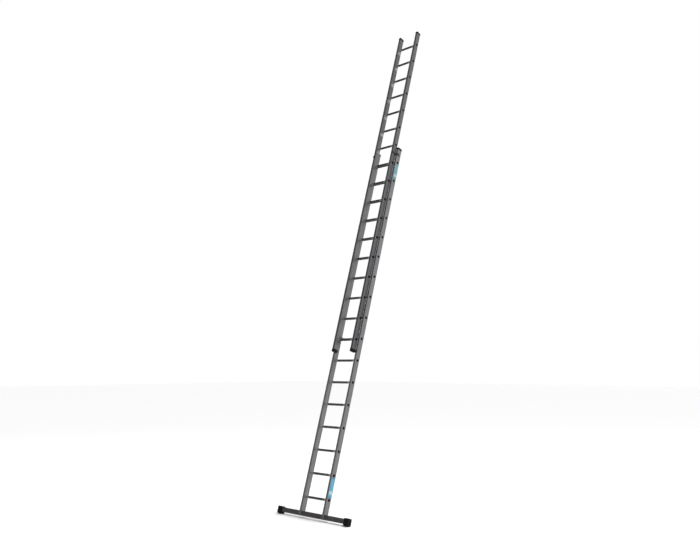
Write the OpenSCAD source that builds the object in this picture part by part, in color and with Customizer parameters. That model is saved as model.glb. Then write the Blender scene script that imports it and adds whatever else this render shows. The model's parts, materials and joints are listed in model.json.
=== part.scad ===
// Two-section push-up extension ladder with a stabiliser bar, leaning at its working angle.
// Every piece is drawn in the ladder's own frame: X along the rungs, Y from the climber through
// the ladder, Z up along the stiles, with Z = 0 at the lower ends of the base stiles and Y = 0 on
// the base rungs' axes. leaning() then tilts it and stands it on the floor at Z = 0.

/* [Stance] */
// Lean from the vertical, top away from the climber, degrees
lean = 17.2; // [12:0.2:22]
// Distance behind the bar's middle at which the feet's level soles start
sole_start = 8.7; // [4:0.1:14]

/* [Rungs] */
// Rungs in each section
rung_count = 17; // [12:1:17]
// Distance from one rung to the next
rung_pitch = 280; // [230:1:340]
// Outer diameter of a rung tube
rung_d = 29; // [24:0.2:35]
// Wall of a rung tube
rung_wall = 2; // [1.5:0.1:3]
// Radial clearance of a rung in its stile holes
rung_fit = 0.05; // [0.02:0.01:0.2]
// Number of grip grooves round a rung
grip_grooves = 12; // [6:1:14]
// Width of a grip groove
grip_groove_w = 1.3; // [0.8:0.1:1.6]
// Depth of a grip groove
grip_groove_depth = 0.7; // [0.3:0.1:0.9]
// How far a flared rung end stands out round its hole
flare_rim = 2.5; // [1.5:0.1:3]
// Thickness of a flared rung end outside the stile
flare_t = 1.2; // [0.8:0.1:1.4]
// Length of the swaged bead inside the stile
bead_len = 2.5; // [1.5:0.1:4]

/* [Base section] */
// Overall width of the base section over its stiles
base_width = 400; // [330:1:480]
// Width of a base stile, across the ladder
base_stile_w = 29; // [26:0.5:32]
// Depth of a base stile, front to back
base_stile_d = 72; // [60:0.2:87]
// Length of a base stile above its top rung
base_above_top_rung = 209; // [160:1:260]
// Height of the first base rung above the stile's lower end
base_rung_first = 206; // [190:1:230]

/* [Fly section] */
// Width of a fly stile, across the ladder
fly_stile_w = 34; // [28:0.1:41]
// Depth of a fly stile, front to back
fly_stile_d = 70; // [64:0.5:72]
// Length of a fly stile above its top rung
fly_above_top_rung = 202; // [120:1:260]
// Height of the first fly rung above the stile's lower end
fly_rung_first = 136; // [120:1:150]
// Side gap between a fly stile and the base stile it runs beside
nest_gap = 1.5; // [1.4:0.1:4]
// Gap between the base rungs' flared ends and the fly stiles behind them
section_gap = 15.5; // [14:0.5:22]
// How far a hooked fly rung lies below the base rung beside it, along the stiles
rung_drop = 29.4; // [26:0.2:31]
// Base rung that the fly hooks over at rest
hooked_rung = 8; // [8:1:9]

/* [Stile extrusion] */
// Wall of a stile's broad sides
stile_side_wall = 1.8; // [1.4:0.1:2.5]
// Wall of a stile's front and back
stile_edge_wall = 2.5; // [1.8:0.1:3.5]
// Corner radius of a stile
stile_corner_r = 3; // [1:0.5:4]
// Width of the grooves that divide a broad side into three bands
stile_groove_w = 3; // [1.5:0.5:5]
// Depth of those grooves
stile_groove_depth = 0.7; // [0.3:0.1:0.9]
// Distance of those grooves from the middle of the side
stile_groove_y = 23; // [20:0.5:24]

/* [End caps] */
// Thickness of a cap above the stile's end
cap_t = 16; // [10:0.5:20]
// Thickness of the heavier cap under a fly stile
shoe_t = 25; // [14:0.5:28]
// Length of the skirt that a cap wraps round the stile's end
cap_skirt = 12; // [8:1:14]
// Cap overhang past the outer side of a fly stile
cap_side_rim = 1; // [0.5:0.1:1]
// Cap overhang past the inner side of a fly stile and the outer side of a base stile
cap_free_rim = 1.5; // [1:0.1:2]
// Gap between the caps of the two sections as they pass each other
cap_pass_gap = 0.2; // [0.2:0.1:0.4]
// Cap overhang past the stile's front and back
cap_edge_rim = 2.5; // [1:0.5:4]
// Length of the cap's plug inside the stile
plug_len = 26; // [15:1:35]
// Clearance of the plug in the stile
plug_fit = 0.3; // [0.1:0.1:0.6]
// Wall of the hollow plug
plug_wall = 3; // [2:0.5:4]

/* [Stabiliser] */
// Overall length over the rubber feet
stabiliser_len = 1150; // [1000:5:1300]
// Height of the bar
bar_h = 56; // [46:0.1:68]
// Depth of the bar, front to back
bar_d = 38; // [34:1:42]
// Wall of the bar
bar_wall = 2.5; // [2:0.1:4]
// How far the bar reaches up inside the stile's notch
bar_seat = 41; // [36:1:44]
// Gap between the bar and the notch at front and back
bar_fit = 0.25; // [0.1:0.05:0.5]
// Length of a foot along the bar
foot_len = 70; // [50:1:75]
// Rubber beyond the bar's end
foot_end_t = 8; // [5:1:12]
// Rubber in front of and behind the bar
foot_side_t = 14; // [8:1:14]
// Rubber above the bar
foot_top_t = 10; // [4:1:10]
// Rubber under the bar, before the sole is cut flat
foot_tread_t = 20; // [19:0.5:22]
// Corner radius of a foot
foot_corner_r = 9; // [4:0.5:12]
// Clearance of the bar in a foot
foot_fit = 0.2; // [0.1:0.1:0.5]

/* [Fasteners] */
// Thread diameter of the bolts
bolt_d = 8; // [6:1:10]
// Diametral clearance of a bolt in its hole
bolt_fit = 0.4; // [0.2:0.1:1]
// Width across flats of heads and nuts
hex_af = 13; // [11:0.5:15]
// Height of a bolt head
head_h = 5.3; // [4:0.1:7]
// Height of a lock nut
nut_h = 7.5; // [6:0.1:9]
// Thread beyond the nut
bolt_tail = 2; // [1:0.5:4]
// Diameter of a washer
washer_d = 17; // [15:0.5:20]
// Thickness of a washer
washer_t = 1.6; // [1:0.1:2.5]

/* [Guide brackets] */
// Distance of a guide bracket above the top base rung
guide_above_rung = 118; // [100:1:140]
// Height of a guide bracket
guide_h = 30; // [24:1:40]
// Thickness of the bracket's strip
guide_t = 3; // [2:0.5:4]
// Gap between the bracket and the fly stile's side
guide_side_gap = 2.5; // [2.2:0.1:3.5]
// Gap between the liner and the fly stile
guide_run_gap = 0.8; // [0.5:0.1:1.5]
// Thickness of the nylon liner at the fly stile's front
liner_t = 2.2; // [1.5:0.1:3]
// How far the bracket laps the fly stile's front
guide_lip = 25; // [18:1:30]
// Length of the bracket's tab behind its bolt
guide_tab = 14; // [12:1:20]

/* [Rung hooks] */
// Gap between a hook's shank and the base rungs it passes
hook_pass_gap = 2.5; // [1.5:0.1:5]
// Gap between the hook's plate and the fly rung's bead above it
plate_rung_gap = 2.6; // [1:0.1:6]
// Thickness of a hook
hook_t = 6; // [4:0.5:8]
// Width of a hook's shank
shank_w = 16; // [14:0.5:16]
// Width of the hooked arc over the rung
hook_arc_w = 9; // [7:0.5:10]
// Clearance between the hooked arc and the rung
hook_fit = 0.4; // [0.3:0.1:1]
// How far the nose reaches past the base rung's far side
nose_lap = 3.5; // [1:0.5:5]
// Diameter of a hook's pivot pin
pivot_d = 8; // [6:0.5:9]
// Radial clearance of the pivot pin in the hook
pivot_fit = 0.05; // [0.02:0.01:0.1]
// Diameter of the pin's heads
pivot_head_d = 14; // [12:0.5:15]
// Thickness of the pin's heads
pivot_head_t = 3; // [2:0.5:4]
// Thickness of the plate that carries the hook
plate_t = 4; // [3:0.5:6]
// Side gap between the hook and that plate
hook_side_gap = 0.5; // [0.3:0.1:1]
// Length of the tail that stops the hook
tail_len = 16; // [14:0.5:16]
// Gap between the closed hook's tail and its stop
stop_gap = 0.3; // [0.1:0.1:1]
// Width of the stop
stop_w = 6; // [4:0.5:8]
// Diameter of the rivets that hold the plate
rivet_d = 6; // [4:0.5:7]
// Distance of the nearer rivet in front of the fly stile's back
rivet_inset = 13.5; // [12:0.5:16]
// Distance between the two rivets
rivet_spacing = 16; // [13:0.5:18]
// Distance of the rivets below the pivot
rivet_drop = 16; // [14:0.5:20]
// Distance from the farther rivet to the plate's front edge
rivet_edge = 8; // [7:0.5:10]
// Plate below the rivets
plate_skirt = 18; // [10:1:24]
// Plate above the pivot, in front of the hook
plate_rise = 3; // [1:0.5:4]

/* [Labels] */
// Gap between a label and the rungs' flared ends above and below it
label_gap = 8; // [4:1:40]
// Width of a label
label_w = 62; // [40:1:64]
// Thickness of a label
label_t = 0.4; // [0.3:0.1:0.8]

/* [Hidden] */
$fn = 48;
SIDES = [-1, 1];
SIDE_NAMES = ["left", "right"];

rung_r = rung_d / 2;
flare_r = rung_r + flare_rim;

base_half = base_width / 2;
base_inner = base_half - base_stile_w;
fly_half = base_inner - nest_gap;
fly_inner = fly_half - fly_stile_w;
section_offset = flare_r + section_gap + fly_stile_d / 2;
fly_front_y = -section_offset - fly_stile_d / 2;
fly_back_y = -section_offset + fly_stile_d / 2;

function base_rung_z(k) = base_rung_first + (k - 1) * rung_pitch;
base_stile_len = base_rung_z(rung_count) + base_above_top_rung;
fly_bottom_z = base_rung_z(hooked_rung) - rung_drop - fly_rung_first;
function fly_rung_z(k) = fly_bottom_z + fly_rung_first + (k - 1) * rung_pitch;
fly_stile_len = fly_rung_z(rung_count) + fly_above_top_rung - fly_bottom_z;

bar_bottom_z = bar_seat - bar_h;
floor_height = (foot_tread_t - bar_bottom_z) * cos(lean) + sole_start * sin(lean);
bar_mid_z = bar_seat - bar_h / 2;
bar_len = stabiliser_len - 2 * foot_end_t;
stile_mid_x = base_half - base_stile_w / 2;

guide_z = base_rung_z(rung_count) + guide_above_rung;
guide_leg_x = fly_half + guide_side_gap;
guide_lip_y = fly_front_y - guide_run_gap - liner_t;

// The hook swings about its pivot, so its inner edge is an arc that just clears the far side of
// the base rung, and the rung never blocks it.
hook_rung_z = base_rung_z(hooked_rung);
pivot_front = rung_r + hook_pass_gap + shank_w / 2;
pivot_below = rung_drop + flare_r + plate_rung_gap + plate_rise;
pivot_y = -pivot_front;
pivot_z = hook_rung_z - pivot_below;
hook_r_in = norm([pivot_front, pivot_below]) + rung_r + hook_fit;
hook_r_out = hook_r_in + hook_arc_w;
nose_angle = acos((pivot_front + rung_r + nose_lap) / hook_r_in);
plate_x = fly_inner - plate_t;
hook_x = plate_x - hook_side_gap - hook_t;
rivet_head_d = 1.8 * rivet_d;
rivet_head_t = 0.4 * rivet_d;
// where the rivets are in the pivot's frame, [Y, Z]
rivet_spots = [for (i = [1, 0]) [fly_back_y - rivet_inset - i * rivet_spacing - pivot_y, -rivet_drop]];
plate_front = rivet_edge - rivet_spots[0][0];
plate_drop = rivet_drop + plate_skirt;

FAR = 20000;

function two_digits(k) = str(k < 10 ? "0" : "", k);
function rung_name(section, k) = str(section, "_rung_", two_digits(k));

// ---- placing ----

module leaning() translate([0, 0, floor_height]) rotate([-lean, 0, 0]) children();

module above_floor() translate([-FAR / 2, -FAR / 2, 0]) cube(FAR);

// Draws its children, which are on the right, on the side given as -1 or 1.
module on_side(side) {
    if (side > 0) children();
    else mirror([1, 0, 0]) children();
}

module on_both_sides() for (side = SIDES) on_side(side) children();

// ---- shared shapes ----

module rounded_rect(w, h, r) {
    square([w - 2 * r, h], center = true);
    square([w, h - 2 * r], center = true);
    for (x = [-1, 1], y = [-1, 1]) translate([x * (w / 2 - r), y * (h / 2 - r)]) circle(r);
}

// A rod along X from x0 to x1.
module rod_x(d, x0, x1) translate([x0, 0, 0]) rotate([0, 90, 0]) cylinder(d = d, h = x1 - x0);

// A rod along Y from y0 to y1.
module rod_y(d, y0, y1) translate([0, y0, 0]) rotate([-90, 0, 0]) cylinder(d = d, h = y1 - y0);

// A hexagon with its axis along Z, standing on Z = 0.
module hexagon(h) cylinder(d = hex_af / cos(30), h = h, $fn = 6);

module tube_section(w, d, side_wall, edge_wall, r) {
    difference() {
        rounded_rect(w, d, r);
        square([w - 2 * side_wall, d - 2 * edge_wall], center = true);
    }
}

// ---- rungs ----

// A ring round the rung's tube, from x0 to x1.
module rung_ring(x0, x1) {
    difference() {
        rod_x(2 * flare_r, x0, x1);
        rod_x(2 * (rung_r - rung_wall), x0 - 1, x1 + 1);
    }
}

// Grooves along the tube that give the foot grip, between x = -half and x = half.
module grip_cuts(half) {
    for (i = [0 : grip_grooves - 1])
        rotate([(i + 0.5) * 360 / grip_grooves, 0, 0])
            translate([-half, rung_r - grip_groove_depth, -grip_groove_w / 2])
                cube([2 * half, 2 * grip_groove_depth, grip_groove_w]);
}

// A tube that passes through both stiles, with a bead inside each stile and a flared end outside.
module rung(y, z, half_span, inner_span) {
    translate([0, y, z]) {
        difference() {
            rod_x(rung_d, -half_span, half_span);
            rod_x(rung_d - 2 * rung_wall, -half_span - 1, half_span + 1);
            grip_cuts(inner_span - bead_len);
        }
        on_both_sides() {
            rung_ring(inner_span - bead_len, inner_span);
            rung_ring(half_span, half_span + flare_t);
        }
    }
}

module base_rung(k) color("dimgray") rung(0, base_rung_z(k), base_half, base_inner);

module fly_rung(k) color("dimgray") rung(-section_offset, fly_rung_z(k), fly_half, fly_inner);

// ---- stiles ----

module stile_section(w, d) {
    difference() {
        tube_section(w, d, stile_side_wall, stile_edge_wall, stile_corner_r);
        for (x = [-1, 1], y = [-1, 1])
            translate([x * w / 2, y * stile_groove_y])
                square([2 * stile_groove_depth, stile_groove_w], center = true);
    }
}

module rung_hole() rod_x(rung_d + 2 * rung_fit, 0, base_width);

module base_stile(side) {
    color("darkgray") on_side(side) difference() {
        translate([stile_mid_x, 0, 0]) linear_extrude(base_stile_len) stile_section(base_stile_w, base_stile_d);
        for (k = [1 : rung_count]) translate([0, 0, base_rung_z(k)]) rung_hole();
        translate([0, -bar_d / 2 - bar_fit, -1]) cube([base_width, bar_d + 2 * bar_fit, bar_seat + 1]);
        translate([stile_mid_x, 0, bar_mid_z]) rod_y(bolt_d + bolt_fit, -base_stile_d, base_stile_d);
        translate([0, 0, guide_z]) rod_x(bolt_d + bolt_fit, 0, base_width);
    }
}

module fly_stile(side) {
    color("gray") on_side(side) difference() {
        translate([fly_half - fly_stile_w / 2, -section_offset, fly_bottom_z])
            linear_extrude(fly_stile_len) stile_section(fly_stile_w, fly_stile_d);
        for (k = [1 : rung_count]) translate([0, -section_offset, fly_rung_z(k)]) rung_hole();
        for (spot = rivet_spots)
            translate([0, pivot_y + spot[0], pivot_z + spot[1]])
                rod_x(rivet_d, fly_inner - 1, fly_inner + stile_side_wall + 1);
    }
}

// ---- end caps ----

module cap_outline(w, d, inner_rim, outer_rim)
    translate([(outer_rim - inner_rim) / 2, 0])
        rounded_rect(w + inner_rim + outer_rim, d + 2 * cap_edge_rim, stile_corner_r + cap_side_rim);

// A cap on a right stile's end, with a skirt round the stile and a hollow plug inside it. It points up,
// with the stile's end at Z = 0. Where the inner rim is thin, the skirt is left off that side.
module end_cap(w, d, t, inner_rim, outer_rim) {
    linear_extrude(t) cap_outline(w, d, inner_rim, outer_rim);
    translate([0, 0, -cap_skirt]) linear_extrude(cap_skirt) difference() {
        cap_outline(w, d, inner_rim, outer_rim);
        rounded_rect(w, d, stile_corner_r);
        if (inner_rim < cap_side_rim)
            translate([-w / 2 - inner_rim - 1, -d]) square([inner_rim + 1, 2 * d]);
    }
    translate([0, 0, -plug_len]) linear_extrude(plug_len)
        tube_section(w - 2 * stile_side_wall - 2 * plug_fit, d - 2 * stile_edge_wall - 2 * plug_fit,
                     plug_wall, plug_wall, 1);
}

module base_top_cap(side) {
    color("black") on_side(side)
        translate([stile_mid_x, 0, base_stile_len])
            end_cap(base_stile_w, base_stile_d, cap_t, nest_gap - cap_side_rim - cap_pass_gap, cap_free_rim);
}

module fly_cap_at(z) translate([fly_half - fly_stile_w / 2, -section_offset, z]) children();

module fly_top_cap(side) {
    color("black") on_side(side)
        fly_cap_at(fly_bottom_z + fly_stile_len)
            end_cap(fly_stile_w, fly_stile_d, cap_t, cap_free_rim, cap_side_rim);
}

module fly_bottom_cap(side) {
    color("black") on_side(side)
        fly_cap_at(fly_bottom_z) mirror([0, 0, 1])
            end_cap(fly_stile_w, fly_stile_d, shoe_t, cap_free_rim, cap_side_rim);
}

// ---- stabiliser ----

module stabiliser_bar() {
    color("dimgray") difference() {
        translate([-bar_len / 2, 0, bar_mid_z]) rotate([90, 0, 90]) linear_extrude(bar_len)
            tube_section(bar_d, bar_h, bar_wall, bar_wall, bar_wall);
        on_both_sides()
            translate([stile_mid_x, 0, bar_mid_z]) rod_y(bolt_d + bolt_fit, -bar_d, bar_d);
    }
}

module foot_block() {
    foot_h = bar_h + foot_top_t + foot_tread_t;
    foot_d = bar_d + 2 * foot_side_t;
    foot_mid_z = bar_bottom_z - foot_tread_t + foot_h / 2;
    translate([stabiliser_len / 2 - foot_len / 2, 0, foot_mid_z]) intersection() {
        rotate([90, 0, 90]) linear_extrude(foot_len, center = true) rounded_rect(foot_d, foot_h, foot_corner_r);
        linear_extrude(foot_h, center = true) rounded_rect(foot_len, foot_d, foot_corner_r);
    }
}

// A rubber foot pushed over the bar's end. Its sole is cut level with the floor.
module stabiliser_foot(side) {
    color("black") on_side(side) intersection() {
        leaning() difference() {
            foot_block();
            translate([0, -bar_d / 2 - foot_fit, bar_bottom_z - foot_fit])
                cube([bar_len / 2, bar_d + 2 * foot_fit, bar_h + 2 * foot_fit]);
        }
        above_floor();
    }
}

// ---- fasteners ----

bolt_under_head_y = -base_stile_d / 2 - washer_t;
bolt_nut_y = base_stile_d / 2 + washer_t;

module stabiliser_bolts() {
    color("silver") on_both_sides() translate([stile_mid_x, 0, bar_mid_z]) {
        rod_y(bolt_d, bolt_under_head_y, bolt_nut_y + nut_h + bolt_tail);
        translate([0, bolt_under_head_y, 0]) rotate([90, 0, 0]) hexagon(head_h);
    }
}

module washer_y(y) {
    difference() {
        rod_y(washer_d, y, y + washer_t);
        rod_y(bolt_d + bolt_fit, y - 1, y + washer_t + 1);
    }
}

module stabiliser_washers() {
    color("silver") on_both_sides() translate([stile_mid_x, 0, bar_mid_z])
        for (y = [bolt_under_head_y, base_stile_d / 2]) washer_y(y);
}

module lock_nut() {
    difference() {
        hexagon(nut_h);
        translate([0, 0, -1]) cylinder(d = bolt_d, h = nut_h + 2);
    }
}

module lock_nuts() {
    color("silver") on_both_sides() {
        translate([stile_mid_x, bolt_nut_y, bar_mid_z]) rotate([-90, 0, 0]) lock_nut();
        translate([base_inner, 0, guide_z]) rotate([0, -90, 0]) lock_nut();
    }
}

// ---- guide brackets ----

module guide_bolts() {
    color("silver") on_both_sides() translate([0, 0, guide_z]) {
        rod_x(bolt_d, base_inner - nut_h - bolt_tail, base_half + guide_t);
        translate([base_half + guide_t, 0, 0]) rotate([0, 90, 0]) hexagon(head_h);
    }
}

// A bent strip: a tab bolted to the base stile's outer side, a leg across its front, a leg along
// the fly stile's side and a lip round the fly stile's front.
module guide_bracket(side) {
    front_y = -base_stile_d / 2 - guide_t;
    lip_x = fly_half - guide_lip;
    color("dimgray") on_side(side) translate([0, 0, guide_z - guide_h / 2]) difference() {
        union() {
            translate([base_half, front_y, 0]) cube([guide_t, guide_tab - front_y, guide_h]);
            translate([guide_leg_x, front_y, 0]) cube([base_half + guide_t - guide_leg_x, guide_t, guide_h]);
            translate([guide_leg_x, guide_lip_y - guide_t, 0])
                cube([guide_t, front_y + guide_t - guide_lip_y + guide_t, guide_h]);
            translate([lip_x, guide_lip_y - guide_t, 0]) cube([guide_leg_x + guide_t - lip_x, guide_t, guide_h]);
        }
        translate([0, 0, guide_h / 2]) rod_x(bolt_d + bolt_fit, base_half - 1, base_half + guide_t + 1);
    }
}

// An angle of nylon inside each bracket's lip. It stops short of the rungs' flared ends.
module guide_liners() {
    side_liner_t = guide_side_gap - guide_run_gap;
    side_liner_len = -section_offset - flare_r - guide_run_gap - guide_lip_y;
    lip_x = fly_half - guide_lip;
    color("white") on_both_sides() translate([0, guide_lip_y, guide_z - guide_h / 2]) {
        translate([lip_x, 0, 0]) cube([guide_leg_x - lip_x, liner_t, guide_h]);
        translate([guide_leg_x - side_liner_t, 0, 0]) cube([side_liner_t, side_liner_len, guide_h]);
    }
}

// ---- rung hooks ----

module hook_outline() {
    difference() {
        union() {
            // shank, from the pivot up to the arc
            circle(d = shank_w);
            translate([-shank_w / 2, 0]) square([shank_w, hook_r_in + hook_arc_w / 2]);
            // tail, which meets the plate's stop when the hook is closed
            translate([-shank_w / 2, -tail_len]) square([shank_w / 2, tail_len]);
            // arc over the rung, down to the nose
            difference() {
                circle(hook_r_out, $fn = 96);
                circle(hook_r_in, $fn = 96);
                translate([-shank_w / 2 - 2 * hook_r_out, -hook_r_out]) square(2 * hook_r_out);
                translate([-hook_r_out, -2 * hook_r_out]) square([3 * hook_r_out, 2 * hook_r_out]);
                rotate(nose_angle) translate([0, -2 * hook_r_out]) square(2 * hook_r_out);
            }
        }
        circle(d = pivot_d + 2 * pivot_fit);
    }
}

module at_pivot() translate([0, pivot_y, pivot_z]) children();

module rung_hook(side) {
    color("slategray") on_side(side) at_pivot()
        translate([hook_x, 0, 0]) rotate([90, 0, 90]) linear_extrude(hook_t) hook_outline();
}

// The plate riveted inside the fly stile. It carries the pivot pin and the hook's stop.
module hook_plates() {
    half_w = shank_w / 2;
    color("slategray") on_both_sides() at_pivot() {
        difference() {
            translate([plate_x, 0, 0]) rotate([90, 0, 90]) linear_extrude(plate_t) {
                circle(half_w);
                translate([-plate_front, -plate_drop]) square([plate_front + half_w, plate_drop]);
                translate([-plate_front, -plate_drop]) square([plate_front - half_w, plate_drop + plate_rise]);
            }
            rod_x(pivot_d, 0, base_width);
            for (spot = rivet_spots)
                translate([0, spot[0], spot[1]]) rod_x(rivet_d, 0, base_width);
        }
        translate([hook_x, -half_w - stop_gap - stop_w, -tail_len])
            cube([hook_t + hook_side_gap, stop_w, stop_w]);
    }
}

module hook_pins() {
    color("silver") on_both_sides() at_pivot() {
        rod_x(pivot_d, hook_x - hook_side_gap, fly_inner);
        rod_x(pivot_head_d, hook_x - hook_side_gap - pivot_head_t, hook_x - hook_side_gap);
        rod_x(pivot_head_d, fly_inner, fly_inner + pivot_head_t);
    }
}

module hook_rivets() {
    color("silver") on_both_sides() at_pivot() for (spot = rivet_spots)
        translate([0, spot[0], spot[1]]) {
            rod_x(rivet_d, plate_x, fly_inner + stile_side_wall);
            rod_x(rivet_head_d, plate_x - rivet_head_t, plate_x);
            rod_x(rivet_head_d, fly_inner + stile_side_wall, fly_inner + stile_side_wall + rivet_head_t);
        }
}

// ---- labels ----

// One label above the first rung and one below the last, on the right stile's outer side.
module labels() {
    label_len = rung_pitch - 2 * (flare_r + label_gap);
    label_spots = [base_rung_z(1), base_rung_z(rung_count - 1)];
    color("lightskyblue") for (z = label_spots)
        translate([base_half, -label_w / 2, z + rung_pitch / 2 - label_len / 2])
            cube([label_t, label_w, label_len]);
}

// ---- assembly ----

module for_each_side(part) {
    for (i = [0, 1]) union() {
        $side = SIDES[i];
        children();
    }
}

for (k = [1 : rung_count]) {
    leaning() base_rung(k);
    leaning() fly_rung(k);
}
for_each_side("base_stile") leaning() base_stile($side);
for_each_side("fly_stile") leaning() fly_stile($side);
for_each_side("base_top_cap") leaning() base_top_cap($side);
for_each_side("fly_top_cap") leaning() fly_top_cap($side);
for_each_side("fly_bottom_cap") leaning() fly_bottom_cap($side);
for_each_side("stabiliser_foot") stabiliser_foot($side);
for_each_side("guide_bracket") leaning() guide_bracket($side);
for_each_side("rung_hook") leaning() rung_hook($side);
leaning() stabiliser_bar();
leaning() stabiliser_bolts();
leaning() stabiliser_washers();
leaning() lock_nuts();
leaning() guide_bolts();
leaning() guide_liners();
leaning() hook_plates();
leaning() hook_pins();
leaning() hook_rivets();
leaning() labels();
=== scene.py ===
"""Two-section push-up extension ladder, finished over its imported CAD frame.

Every new piece is drawn in the ladder's own frame, with X along the rungs, Y from the climber
through the ladder and Z up along the stiles, in millimetres, and is then leaned into place.
"""

from __future__ import annotations

import json
import logging
import math
from collections.abc import Callable, Sequence
from dataclasses import dataclass, field
from enum import Enum
from functools import reduce
from itertools import pairwise

import bmesh
import bpy
from mathutils import Matrix, Vector

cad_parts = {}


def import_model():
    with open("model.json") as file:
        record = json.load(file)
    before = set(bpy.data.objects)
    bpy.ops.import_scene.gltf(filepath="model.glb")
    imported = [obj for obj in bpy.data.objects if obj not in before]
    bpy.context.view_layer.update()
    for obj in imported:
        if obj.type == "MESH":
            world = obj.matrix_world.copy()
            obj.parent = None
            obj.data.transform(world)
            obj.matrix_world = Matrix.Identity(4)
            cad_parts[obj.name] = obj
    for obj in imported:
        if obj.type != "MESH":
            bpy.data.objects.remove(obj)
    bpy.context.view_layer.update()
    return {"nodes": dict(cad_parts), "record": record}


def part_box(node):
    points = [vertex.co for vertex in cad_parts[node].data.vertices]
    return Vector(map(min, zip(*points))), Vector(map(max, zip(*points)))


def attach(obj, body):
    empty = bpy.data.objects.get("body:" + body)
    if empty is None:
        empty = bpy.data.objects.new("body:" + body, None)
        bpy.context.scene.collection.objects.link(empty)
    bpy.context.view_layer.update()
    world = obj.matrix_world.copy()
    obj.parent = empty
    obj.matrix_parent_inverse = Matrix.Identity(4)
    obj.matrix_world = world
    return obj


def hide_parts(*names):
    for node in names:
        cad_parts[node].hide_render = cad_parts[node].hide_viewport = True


MM = 0.001
SLACK = 0.1
MERGE = 0.001
LOG = logging.getLogger("ladder")

Colour = tuple[float, float, float]
Flat = tuple[float, float]
Steps = tuple[Flat, ...]
Piece = bpy.types.Object
Socket = bpy.types.NodeSocket

MIRROR = Matrix.Diagonal((-1, 1, 1, 1))
TURN_Y_TO_X = Matrix.Rotation(-math.pi / 2, 4, "Z")
ABOUT_X = Matrix.Rotation(math.pi, 4, "X")
ABOUT_Z = Matrix.Rotation(math.pi, 4, "Z")


class Side(Enum):
    """Which half of the ladder a piece stands on, as the sign of its X."""

    LEFT = -1
    RIGHT = 1

    @property
    def word(self) -> str:
        """The side's name as the CAD nodes spell it."""
        return self.name.lower()

    @property
    def matrix(self) -> Matrix:
        """Takes a right-hand piece to this side."""
        return MIRROR if self is Side.LEFT else Matrix()


class Plane(Enum):
    """The plane that an outline is drawn in."""

    XY = "XY"
    YZ = "YZ"

    def at(self, spot: Flat, level: float) -> Vector:
        """A point of the outline, in metres, with the plane at a level in millimetres."""
        u, v = spot
        return Vector((u, v, level) if self is Plane.XY else (level, u, v)) * MM

    def normal(self) -> Vector:
        """The unit vector across the plane."""
        return Vector((0, 0, 1) if self is Plane.XY else (1, 0, 0))


class Axis(Enum):
    """The line that a turned piece is turned about."""

    X = (1, 0, 0)
    Y = (0, 1, 0)

    def at(self, along: float, radius: float) -> Vector:
        """A point of a turned piece's profile, in metres."""
        return Vector((along, radius, 0) if self is Axis.X else (0, along, radius)) * MM


def shift(x: float = 0, y: float = 0, z: float = 0) -> Matrix:
    """A move in millimetres."""
    return Matrix.Translation(Vector((x, y, z)) * MM)


def arc(radius: float, start: float, end: float, steps: int, centre: Flat = (0, 0)) -> list[Flat]:
    """Points along an arc, both ends included.

    Args:
        radius: Radius of the arc.
        start: Angle of the first point, in degrees.
        end: Angle of the last point, in degrees.
        steps: Number of chords.
        centre: Middle of the arc.

    Returns:
        The points in order.
    """
    turns = [math.radians(start + (end - start) * i / steps) for i in range(steps + 1)]
    return [(centre[0] + radius * math.cos(a), centre[1] + radius * math.sin(a)) for a in turns]


def fillet(corners: Sequence[Flat], radius: float, steps: int = 4, closed: bool = True) -> list[Flat]:
    """Rounds the corners of an outline.

    Args:
        corners: The sharp outline.
        radius: Radius of each rounded corner.
        steps: Chords per corner.
        closed: Whether the outline returns to its first corner. An open one keeps its ends sharp.

    Returns:
        The rounded outline.
    """
    out: list[Flat] = []
    count = len(corners)
    for i, corner in enumerate(corners):
        if not closed and i in (0, count - 1):
            out.append(corner)
            continue
        here = Vector(corner)
        back = (Vector(corners[i - 1]) - here).normalized()
        ahead = (Vector(corners[(i + 1) % count]) - here).normalized()
        half = math.acos(max(-1.0, min(1.0, back.dot(ahead)))) / 2
        middle = here + (back + ahead).normalized() * (radius / math.sin(half))
        first = here + back * (radius / math.tan(half)) - middle
        last = here + ahead * (radius / math.tan(half)) - middle
        sweep = first.angle_signed(last)
        for step in range(steps + 1):
            out.append(tuple(middle + Matrix.Rotation(-sweep * step / steps, 2) @ first))
    return out


def oblong(low: Flat, high: Flat, radius: float, steps: int) -> list[Flat]:
    """An upright rectangle with rounded corners, given by two opposite corners."""
    return fillet([low, (high[0], low[1]), high, (low[0], high[1])], radius, steps)


def bent_strip(path: Sequence[Flat], thickness: float, bend: float, steps: int = 6) -> list[Flat]:
    """Outline of a strip of sheet bent along a path.

    Args:
        path: Corners of the strip's middle line.
        thickness: Thickness of the sheet.
        bend: Radius of the middle line at each bend.
        steps: Chords per bend.

    Returns:
        The closed outline of the strip's edge.
    """
    line = [Vector(p) for p in fillet(path, bend, steps, closed=False)]
    near, far = [], []
    for i, spot in enumerate(line):
        along = (line[min(i + 1, len(line) - 1)] - line[max(i - 1, 0)]).normalized()
        across = Vector((-along.y, along.x)) * thickness / 2
        near.append(tuple(spot + across))
        far.append(tuple(spot - across))
    return near + far[::-1]


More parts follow.
